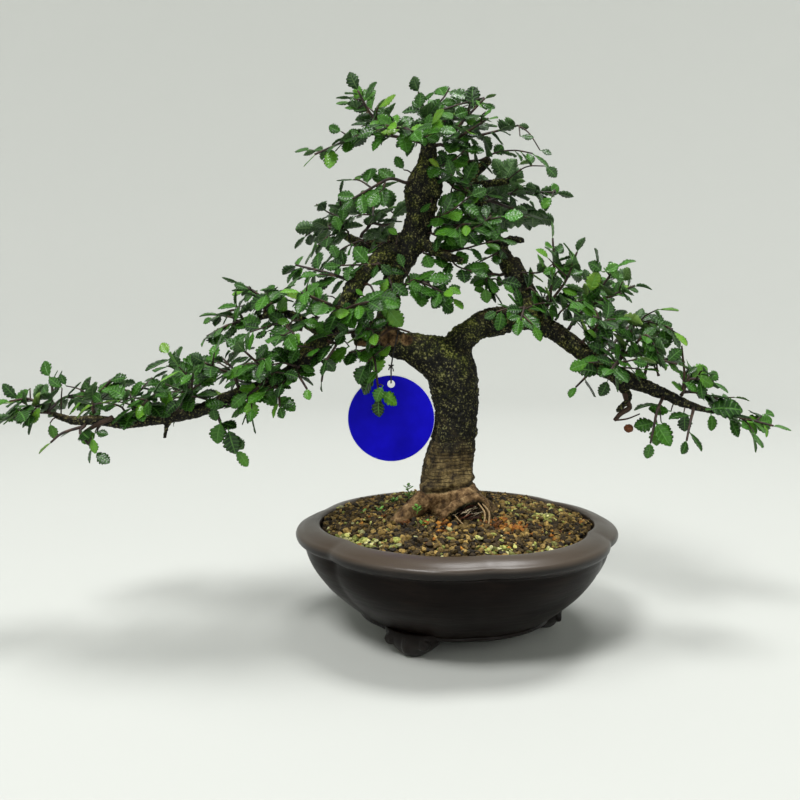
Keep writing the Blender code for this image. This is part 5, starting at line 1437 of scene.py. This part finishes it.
def blade(draw):
    """Points of a leaf one unit long, its faces, which of them are below, and its (along, across)."""
    stations = TOOTH_STATIONS * TEETH
    wide = draw.uniform(0.86, 1.1)
    blunt = draw.uniform(0.55, 0.85)
    fold = draw.uniform(0.06, 0.30)
    droop = draw.uniform(0.04, 0.24)
    curl = draw.uniform(0.0, 0.10)
    sway = draw.uniform(-0.05, 0.05)
    ripple = draw.uniform(0.0, 0.02)
    scale = 1.0 / 14.0
    points, marks = [], []

    def add(along, side, across, lift, mark):
        length = STALK_LENGTH + (1.0 - STALK_LENGTH) * along
        y = side * across * wide + sway * math.sin(math.pi * along)
        z = (fold * across - curl * across * across * 4.0 - droop * length * length
             + ripple * math.sin(along * 13.0 + side * 1.3) * across * 3.0 + lift * scale)
        points.append((length, y, z))
        marks.append(mark)
        return len(points) - 1

    rib = [add(k / stations, 1, 0.0, -VEIN_SINK, (k / stations, 0.0)) for k in range(stations + 1)]
    rows = {}
    for side in (1, -1):
        for k in range(1, stations):
            u = k / stations
            on_vein = k % TOOTH_STATIONS > 0
            for r, row in enumerate(ROWS[1:], 1):
                along = u + VEIN_SLANT * math.sin(math.pi * u) * row
                if k % TOOTH_STATIONS == 2 and row == 1.0:
                    along += 0.02
                width = half_width(along, blunt) * row
                if row == 1.0:
                    width *= TOOTH_OUT[k % TOOTH_STATIONS] * draw.uniform(0.97, 1.03)
                lift = 0.0 if row == 1.0 else (-VEIN_SINK if on_vein else QUILT)
                rows[side, k, r] = add(min(along, 0.99), side, width, lift, (u, row * side))
    last = len(ROWS) - 1
    faces, below = [], []
    for side in (1, -1):
        for k in range(stations):
            for r in range(last):
                corners = []
                for station, row in ((k, r), (k + 1, r), (k + 1, r + 1), (k, r + 1)):
                    at_rib = station in (0, stations) or row == 0
                    corner = rib[station] if at_rib else rows[side, station, row]
                    if corner not in corners:
                        corners.append(corner)
                if len(corners) > 2:
                    faces.append(tuple(corners if side == 1 else corners[::-1]))
                    below.append(False)
    under = {}
    for k in range(1, stations):
        x, y, z = points[rib[k]]
        points.append((x, y, z - (BLADE_THICK + 0.22) * scale))
        marks.append((k / stations, 0.0))
        under[k] = len(points) - 1
    for side in (1, -1):
        for k in range(stations):
            corners = []
            for station, outer in ((k, False), (k, True), (k + 1, True), (k + 1, False)):
                inner = rib[station] if station in (0, stations) else under[station]
                corner = rows.get((side, station, last), inner) if outer else inner
                if corner not in corners:
                    corners.append(corner)
            faces.append(tuple(corners if side == 1 else corners[::-1]))
            below.append(True)
    stalk = []
    for x, size in ((-0.02, 0.032), (STALK_LENGTH + 0.03, 0.024)):
        for k in range(4):
            angle = math.pi * (k / 2 + 0.25)
            stalk.append((x, size * math.cos(angle), size * math.sin(angle) - droop * x * x - 0.012))
    start = len(points)
    points += stalk
    marks += [(0.0, 0.0)] * 8
    for k in range(4):
        faces.append((start + k, start + (k + 1) % 4, start + 4 + (k + 1) % 4, start + 4 + k))
        below.append(False)
    faces += [tuple(range(start + 3, start - 1, -1)), tuple(range(start + 4, start + 8))]
    below += [False, False]
    return np.array(points), faces, below, marks


def vein_lines(material):
    """How near a place on the blade is to the midrib or to one of the side veins."""
    blade_place = node(material, "UVMap", {"uv_map": "blade"}).outputs["UV"]
    parts = node(material, "SeparateXYZ", {"Vector": blade_place})
    across = node(material, "Math", {"operation": "ABSOLUTE", 0: parts.outputs["Y"]})
    midrib = node(material, "MapRange",
                  {"Value": across, "From Min": 0.03, "From Max": 0.12, "To Min": 1.0, "To Max": 0.0})
    count = node(material, "Math", {"operation": "MULTIPLY", 0: parts.outputs["X"], 1: float(TEETH)})
    turn = node(material, "Math", {"operation": "FRACT", 0: count})
    off = node(material, "Math", {"operation": "SUBTRACT", 0: turn, 1: 0.5})
    off_size = node(material, "Math", {"operation": "ABSOLUTE", 0: off})
    veins = node(material, "MapRange",
                 {"Value": off_size, "From Min": 0.04, "From Max": 0.16, "To Min": 0.55, "To Max": 0.0})
    return node(material, "Math", {"operation": "MAXIMUM", 0: midrib, 1: veins})


def leaf_upper():
    """Upper side of an elm leaf: waxy and glossy, deep green with paler veins; young ones yellower."""
    material, place = new_material("elm_leaf_upper")
    tint = node(material, "Attribute", {"attribute_name": "tint"}).outputs["Fac"]
    youth = node(material, "Attribute", {"attribute_name": "youth"}).outputs["Fac"]
    mottle = node(material, "TexNoise", {"Vector": place, "Scale": marks_of(2.38), "Detail": 3.0})
    mixed = node(material, "Math", {"operation": "MULTIPLY_ADD", 0: mottle, 1: 0.5, 2: -0.25})
    tone = node(material, "Math", {"operation": "ADD", "use_clamp": True, 0: tint, 1: mixed})
    old = ramp(material, tone, [(0.0, "#0d2606"), (0.4, "#1f430b"), (0.75, "#366812"), (1.0, "#5c8e20")])
    young = ramp(material, tone, [(0.0, "#356f18"), (0.6, "#5b8c22"), (1.0, "#8a9c34")])
    green = node(material, "Mix", {"data_type": "RGBA", 0: youth, 6: old, 7: young})
    lines = vein_lines(material)
    strength = node(material, "Math", {"operation": "MULTIPLY", 0: lines, 1: 0.5})
    veined = node(material, "Mix", {"data_type": "RGBA", 0: strength, 6: green, 7: linear("#5f9440")})
    rough = node(material, "MapRange", {"Value": mottle, "To Min": 0.22, "To Max": 0.42})
    puckers = node(material, "TexNoise", {"Vector": place, "Scale": marks_of(1.0), "Detail": 1.0})
    rumple = node(material, "Bump", {"Strength": 0.5, "Distance": 0.0004, "Height": puckers})
    sink = node(material, "Bump",
                {"invert": True, "Strength": 0.5, "Distance": 0.0003, "Height": lines, "Normal": rumple})
    return finish_material(material, IOR=1.45, Specular_IOR_Level=0.3, Coat_Weight=0.1, Coat_Roughness=0.08,
                           Base_Color=veined, Roughness=rough, Normal=sink)


def leaf_under():
    """Under side of an elm leaf: matt, pale grey-green, its veins standing out."""
    material, _ = new_material("elm_leaf_under")
    tint = node(material, "Attribute", {"attribute_name": "tint"}).outputs["Fac"]
    youth = node(material, "Attribute", {"attribute_name": "youth"}).outputs["Fac"]
    old = ramp(material, tint, [(0.0, "#1c381a"), (1.0, "#40612f")])
    green = node(material, "Mix", {"data_type": "RGBA", 0: youth, 6: old, 7: linear("#6c8c38")})
    lines = vein_lines(material)
    strength = node(material, "Math", {"operation": "MULTIPLY", 0: lines, 1: 0.6})
    veined = node(material, "Mix", {"data_type": "RGBA", 0: strength, 6: green, 7: linear("#6f8f52")})
    stand = node(material, "Bump", {"Strength": 0.6, "Distance": 0.0003, "Height": lines})
    return finish_material(material, IOR=1.4, Roughness=0.6, Base_Color=veined, Normal=stand)


def twig_bark():
    """Bark of last year's twigs: red-brown to dark grey-brown, with pale pores."""
    material, place = new_material("elm_twig_bark")
    mottle = node(material, "TexNoise", {"Vector": place, "Scale": marks_of(2.86), "Detail": 4.0})
    colour = ramp(material, mottle, [(0.3, "#120c09"), (0.5, "#2a1c14"), (0.66, "#422d1f"), (0.8, "#6d543d")])
    bump = node(material, "Bump", {"Strength": 0.5, "Distance": 0.0002, "Height": mottle})
    return finish_material(material, IOR=1.45, Roughness=0.6, Base_Color=colour, Normal=bump)


def leaf_piece(name, leaves, blades, materials, draw):
    """All leaves of one spray as one piece."""
    points, faces, below, marks, tints, youths = [], [], [], [], [], []
    start = 0
    for matrix, length, at_tip, youth in leaves:
        shape, shape_faces, shape_below, shape_marks = draw.choice(blades)
        turned_points = shape * length @ np.array(matrix.to_3x3()).T + np.array(matrix.translation)
        points.append(turned_points)
        faces.extend([tuple(start + i for i in face) for face in shape_faces])
        below.extend(shape_below)
        marks.extend(shape_marks)
        tint = min(1.0, max(0.0, draw.gauss(0.42, 0.24)))
        if youth is None:
            youth = draw.uniform(0.2, 1.0) if draw.random() < (0.25 if at_tip else 0.06) else 0.0
        tints.extend([tint] * len(shape))
        youths.extend([youth] * len(shape))
        start += len(shape)
    spray = "spray_" + name
    piece = new_piece(spray + "_leaves", np.concatenate(points), faces, materials[0], [spray])
    piece.data.materials.append(materials[1])
    piece.data.polygons.foreach_set("material_index", [int(b) for b in below])
    set_attribute(piece, "tint", tints)
    set_attribute(piece, "youth", youths)
    layer = piece.data.uv_layers.new(name="blade")
    corner_points = np.empty(len(piece.data.loops), np.int32)
    piece.data.loops.foreach_get("vertex_index", corner_points)
    layer.uv.foreach_set("vector", np.array(marks, np.float32)[corner_points].ravel())
    return piece


def make_sprays():
    """Grow the leaves of the solids first, then what fills them, and make the pieces."""
    cad_wood = node_tree("wood")
    clearance = Clearance([cad_wood] + [node_tree(name) for name in ("soil", "pot", "tag", "tag_thread")])
    routes = {}
    for name, (limb, stems) in SPRAYS.items():
        routes[name] = twig_routes(limb, stems, cad_wood)
        for route in routes[name]:
            points, faces = tube(route, 4)
            middle = sum((Vector(p[:3]) for p in route), Vector()) / len(route)
            reach = max((Vector(p[:3]) - middle).length for p in route) + 2.0
            tree = BVHTree.FromPolygons([tuple(p) for p in points], faces)
            clearance.add(name, "twig", tree, middle, reach)
    leaves = {}
    for number, name in enumerate(SPRAYS):
        draw = random.Random(LEAF_SEED + number)
        leaves[name] = []
        for route in routes[name]:
            leaves[name] += main_leaves(name, route, clearance, draw)
    twigs = []
    hand_leaves(routes, clearance, leaves, twigs)
    for number, name in enumerate(SPRAYS):
        draw = random.Random(FILL_SEED + number)
        for route in routes[name]:
            twigs.append(route)
            if name in NO_FILL:
                continue
            twigs += side_shoots(name, route, clearance, draw, leaves[name])
            spots = (3.0, route_length(route) - 1.0)
            fill_along(name, route, spots, (0.8, 1.2), 1, draw, clearance, leaves[name])
    owners = {name: sum((Vector(p[:3]) for p in route[0]), Vector()) / len(route[0])
              for name, route in routes.items()}
    for number, (limb, keys) in enumerate(SHOOTS):
        draw = random.Random(FILL_SEED * 2 + number)
        route = twig_routes(limb, [keys], bark_tree)[0]
        end = Vector(route[-1][:3])
        if in_open_air(end):
            continue
        name = min(owners, key=lambda owner: (owners[owner] - end).length)
        thin = [(*p[:3], p[3] * 0.7) for p in route]
        twigs.append(thin)
        rank = draw.choice((-1, 1))
        total = route_length(thin)
        fill_along(name, thin, (3.5, total - 1.5), (0.75, 1.1), rank, draw, clearance, leaves[name], total)
    blade_draw = random.Random(FILL_SEED)
    blades = [blade(blade_draw) for _ in range(BLADE_KINDS)]
    materials = (leaf_upper(), leaf_under())
    for name, found in leaves.items():
        leaf_piece(name, found, blades, materials, blade_draw)
    points, faces = join([tube(smooth_through(route, 2.2), 7) for route in twigs])
    new_piece("leafy_twigs", points, faces, twig_bark())


make_sprays()

# Tag: a round show tag, laser-cut from two-colour plastic, blue over a white core that shows at its
# edge. It is 50 mm across, hangs by a hole near its top, and is bare.
TAG_CENTRE = (-38.6, -8.5, 126.0)
TAG_RADIUS = 25.0
TAG_THICK = 1.2
TAG_HOLE_UP = 20.0
TAG_HOLE_RADIUS = 2.2
TAG_SKIN = 0.25


def blue_plastic():
    """Blue acrylic skin: smooth and glossy, with faint moulding waves."""
    material, place = new_material("blue_acrylic")
    waves = node(material, "TexNoise", {"Vector": place, "Scale": marks_of(6.25), "Detail": 2.0})
    shade = ramp(material, waves, [(0.35, "#0d05b6"), (0.65, "#1008c0")])
    bump = node(material, "Bump", {"Strength": 0.12, "Distance": 0.0004, "Height": waves})
    return finish_material(material, IOR=1.49, Roughness=0.4, Specular_IOR_Level=0.06, Base_Color=shade,
                           Normal=bump)


def white_core():
    """White acrylic core, sanded matt where the disc was cut out."""
    material, place = new_material("white_acrylic_edge")
    cut = node(material, "TexNoise", {"Vector": place, "Scale": marks_of(1.11), "Detail": 2.0})
    shade = ramp(material, cut, [(0.3, "#d6d6e4"), (0.7, "#f1f1f6")])
    return finish_material(material, IOR=1.49, Roughness=0.5, Base_Color=shade)


def make_tag():
    """The disc as rings from its hole to its edge, front and back, with a small bevel."""
    around = 120
    half = TAG_THICK / 2
    core = half - TAG_SKIN
    loops = [(TAG_RADIUS + inward, depth, 0.0)
             for inward, depth in ((-0.5, half), (-0.22, half - 0.06), (0.0, core), (0.0, -core),
                                   (-0.22, 0.06 - half), (-0.5, -half))]
    loops += [(TAG_HOLE_RADIUS, depth, TAG_HOLE_UP) for depth in (-half, -core, core, half)]
    cx, cy, cz = TAG_CENTRE
    points = []
    for radius, depth, up in loops + loops[:1]:
        for i in range(around):
            a = 2 * math.pi * i / around
            points.append((cx + radius * math.sin(a), cy - depth, cz + up + radius * math.cos(a)))
    last = len(loops) * around
    points = points[:last]
    faces = [tuple(corner % last for corner in face) for face in bands(len(loops) + 1, around)]
    white = [int(number // around in (1, 2, 3, 6, 7, 8)) for number in range(len(faces))]
    disc = new_piece("bare_tag", points, faces, blue_plastic(), ["tag"])
    disc.data.materials.append(white_core())
    disc.data.polygons.foreach_set("material_index", white)
    disc.data.set_sharp_from_angle(angle=math.radians(30))


make_tag()

# Thread: black waxed cotton, tied round the left limb with a knot below it, and looped through the
# tag's hole. It is held all the way, so it is no free cord.
THREAD_RADIUS = 0.45
KNOT = (-38.6, -8.5, 156.0)
LOOP_CENTRE = (-36.0, -8.0, 169.5)
LOOP_LEAN = 0.22
LOOP_HALF_TURN = 130.0
LOOP_POINTS = 25
TAG_LOOP = [(-1.7, 6.5), (-1.7, 1.7), (-1.2, 0.7), (1.2, 0.7), (1.7, 1.7), (1.7, 6.5)]


def waxed_cotton():
    """Black waxed thread of two twisted plies, slightly shiny along each ply, with coarse fibres to show."""
    material, place = new_material("black_waxed_cotton")
    fibres = node(material, "TexNoise", {"Vector": place, "Scale": marks_of(0.4), "Detail": 2.0})
    shade = ramp(material, fibres, [(0.3, "#080707"), (0.7, "#1d1a18")])
    return finish_material(material, IOR=1.5, Roughness=0.55, Base_Color=shade)


def make_thread():
    centre = Vector(LOOP_CENTRE)
    loop = [(*KNOT, THREAD_RADIUS)]
    for i in range(LOOP_POINTS):
        angle = math.radians(LOOP_HALF_TURN * (2 * i / (LOOP_POINTS - 1) - 1))
        out = Vector((LOOP_LEAN * math.cos(angle), math.sin(angle), math.cos(angle))).normalized()
        bark, _, _, _ = bark_tree.ray_cast(centre + out * 20.0, -out)
        loop.append((*(bark + out * THREAD_RADIUS), THREAD_RADIUS))
    loop.append(loop[0])
    x, y, z = TAG_CENTRE
    drop = [(*KNOT, THREAD_RADIUS)]
    for side, up in TAG_LOOP:
        drop.append((x, y + side, z + TAG_HOLE_UP + up, THREAD_RADIUS))
    drop.append(drop[0])
    shapes = [tube(smooth_through(route, 0.5), 10, twist=0.55, squeeze=0.35) for route in (loop, drop)]
    knot = []
    for i in range(60):
        a = 2 * math.pi * i / 60
        knot.append((KNOT[0] + 0.85 * (math.sin(a) + 0.6 * math.sin(2 * a)),
                     KNOT[1] + 0.75 * math.sin(3 * a),
                     KNOT[2] + 0.95 * (math.cos(a) - 0.6 * math.cos(2 * a)), THREAD_RADIUS))
    shapes.append(tube(knot, 10, ring=True))
    tails = [[(*KNOT, 0.4), (KNOT[0] + 1.0, KNOT[1] - 0.7, KNOT[2] - 1.0, 0.4),
              (KNOT[0] + 1.3, KNOT[1] - 0.9, KNOT[2] - 2.8, 0.36)],
             [(*KNOT, 0.4), (KNOT[0] - 0.9, KNOT[1] - 0.8, KNOT[2] - 0.6, 0.4),
              (KNOT[0] - 1.4, KNOT[1] - 1.0, KNOT[2] - 2.0, 0.36)]]
    shapes += [tube(smooth_through(tail, 0.5), 8, twist=0.55, squeeze=0.3) for tail in tails]
    points, faces = join(shapes)
    new_piece("tag_cord", points, faces, waxed_cotton(), ["tag_thread"])


make_thread()

# Seedlings: a few tiny weeds that came up in the soil near the trunk, with soft pale green leaves.
SEEDLINGS = [(-28, 25, 68.5, 11.0, 12), (-24, -22, 73.0, 4.5, 8), (-45, 0, 67.5, 4.0, 5),
             (-57, 0, 65.0, 4.0, 4), (-36, 24, 68.0, 3.5, 9), (-20, -34, 68.0, 3.0, 5)]
SEEDLING_SEED = 3


def soft_leaf():
    """Seedling leaf: thin and soft, light green, almost matt."""
    material, place = new_material("seedling_leaf")
    mottle = node(material, "TexNoise", {"Vector": place, "Scale": marks_of(1.43), "Detail": 2.0})
    shade = ramp(material, mottle, [(0.3, "#4f8f35"), (0.7, "#93c45c")])
    return finish_material(material, IOR=1.4, Roughness=0.55, Base_Color=shade)


def make_seedlings():
    draw = random.Random(SEEDLING_SEED)
    shapes = []
    for x, y, z, tall, count in SEEDLINGS:
        foot = Vector((x, y, z))
        top = foot + Vector((draw.uniform(-1.5, 1.5), draw.uniform(-1.0, 1.0), tall))
        middle = foot.lerp(top, 0.5) + Vector((0.4, 0, 0))
        shapes.append(tube(smooth_through([(*foot, 0.3), (*middle, 0.25), (*top, 0.2)], 1.0), 6))
        for i in range(count):
            part = 0.35 + 0.65 * i / max(1, count - 1)
            base = foot.lerp(top, part)
            turn = i * 2.4
            out = Vector((math.cos(turn), math.sin(turn), 0.45)).normalized()
            length = draw.uniform(2.4, 3.8)
            matrix = leaf_matrix(base, out, Vector((0, 0, 1)))
            ring = [matrix @ Vector((length * (0.5 - 0.5 * math.cos(a)) + 0.3, length * 0.32 * math.sin(a),
                                     0.25 * math.sin(a / 2) ** 2)) for a in np.arange(12) * math.pi / 6]
            up = matrix.to_3x3() @ Vector((0, 0, 0.14))
            middle = matrix @ Vector((length * 0.5 + 0.3, 0, 0.05))
            points = [tuple(p) for p in ring] + [tuple(middle + up), tuple(middle - up)]
            faces = [(k, (k + 1) % 12, 12) for k in range(12)] + [((k + 1) % 12, k, 13) for k in range(12)]
            shapes.append((points, faces))
    points, faces = join(shapes)
    new_piece("seedlings", points, faces, soft_leaf())


make_seedlings()

# Studio: a pale sweep that rises all round, soft lights above and in front, and the camera where the
# photograph was taken, level with the lower limbs.
CAMERA_DOWN = math.atan(102 / 930)
CAMERA_LENS = 930 / 800 * 36.0
SWEEP = [(0.0, 0.0), (900.0, 0.0), (1500.0, 30.0), (2100.0, 330.0), (2500.0, 1000.0), (2600.0, 2400.0)]


def make_studio():
    profile = smooth_through([(r, z, 0.0) for r, z in SWEEP[1:]], 120.0)
    points = [(0.0, 0.0, 0.0)]
    around = 96
    for radius, height, _ in profile:
        for i in range(around):
            a = 2 * math.pi * i / around
            points.append((radius * math.cos(a), radius * math.sin(a), height))
    faces = [(0, 1 + i, 1 + (i + 1) % around) for i in range(around)] + bands(len(profile), around, 1)
    paper = finish_material(new_material("pale_paper")[0], Base_Color=linear("#b6b8b3"), Roughness=0.9)
    sweep = true_size("sweep", points, faces, paper)
    world = bpy.data.worlds.new("studio")
    world.use_nodes = True
    background = world.node_tree.nodes["Background"]
    background.inputs["Color"].default_value = linear("#eef1f5")
    background.inputs["Strength"].default_value = 0.24
    bpy.context.scene.world = world


def area_light(name, place, target, size, power):
    data = bpy.data.lights.new(name, "AREA")
    data.shape = "DISK"
    data.size = size
    data.energy = power
    lamp = bpy.data.objects.new(name, data)
    bpy.context.scene.collection.objects.link(lamp)
    lamp.location = Vector(place) * MM + POT_MIDDLE
    way = (Vector(target) - Vector(place)).normalized()
    lamp.rotation_mode = "QUATERNION"
    lamp.rotation_quaternion = way.to_track_quat("-Z", "Y")


make_studio()
area_light("key", (-900, -1400, 2500), (0, 0, 150), 0.9, 68.0)
area_light("top", (500, 300, 2900), (0, 0, 180), 1.2, 74.0)
area_light("front", (900, -2200, 900), (0, 0, 130), 1.4, 12.0)
bpy.context.scene.view_settings.view_transform = "Standard"

camera_data = bpy.data.cameras.new("camera")
camera_data.lens = CAMERA_LENS
camera_data.sensor_width = 36.0
camera = bpy.data.objects.new("camera", camera_data)
bpy.context.scene.collection.objects.link(camera)
camera.location = Vector(VIEW_PLACE) * MM + POT_MIDDLE
camera.rotation_euler = (math.pi / 2 - CAMERA_DOWN, 0.0, 0.0)
bpy.context.scene.camera = camera
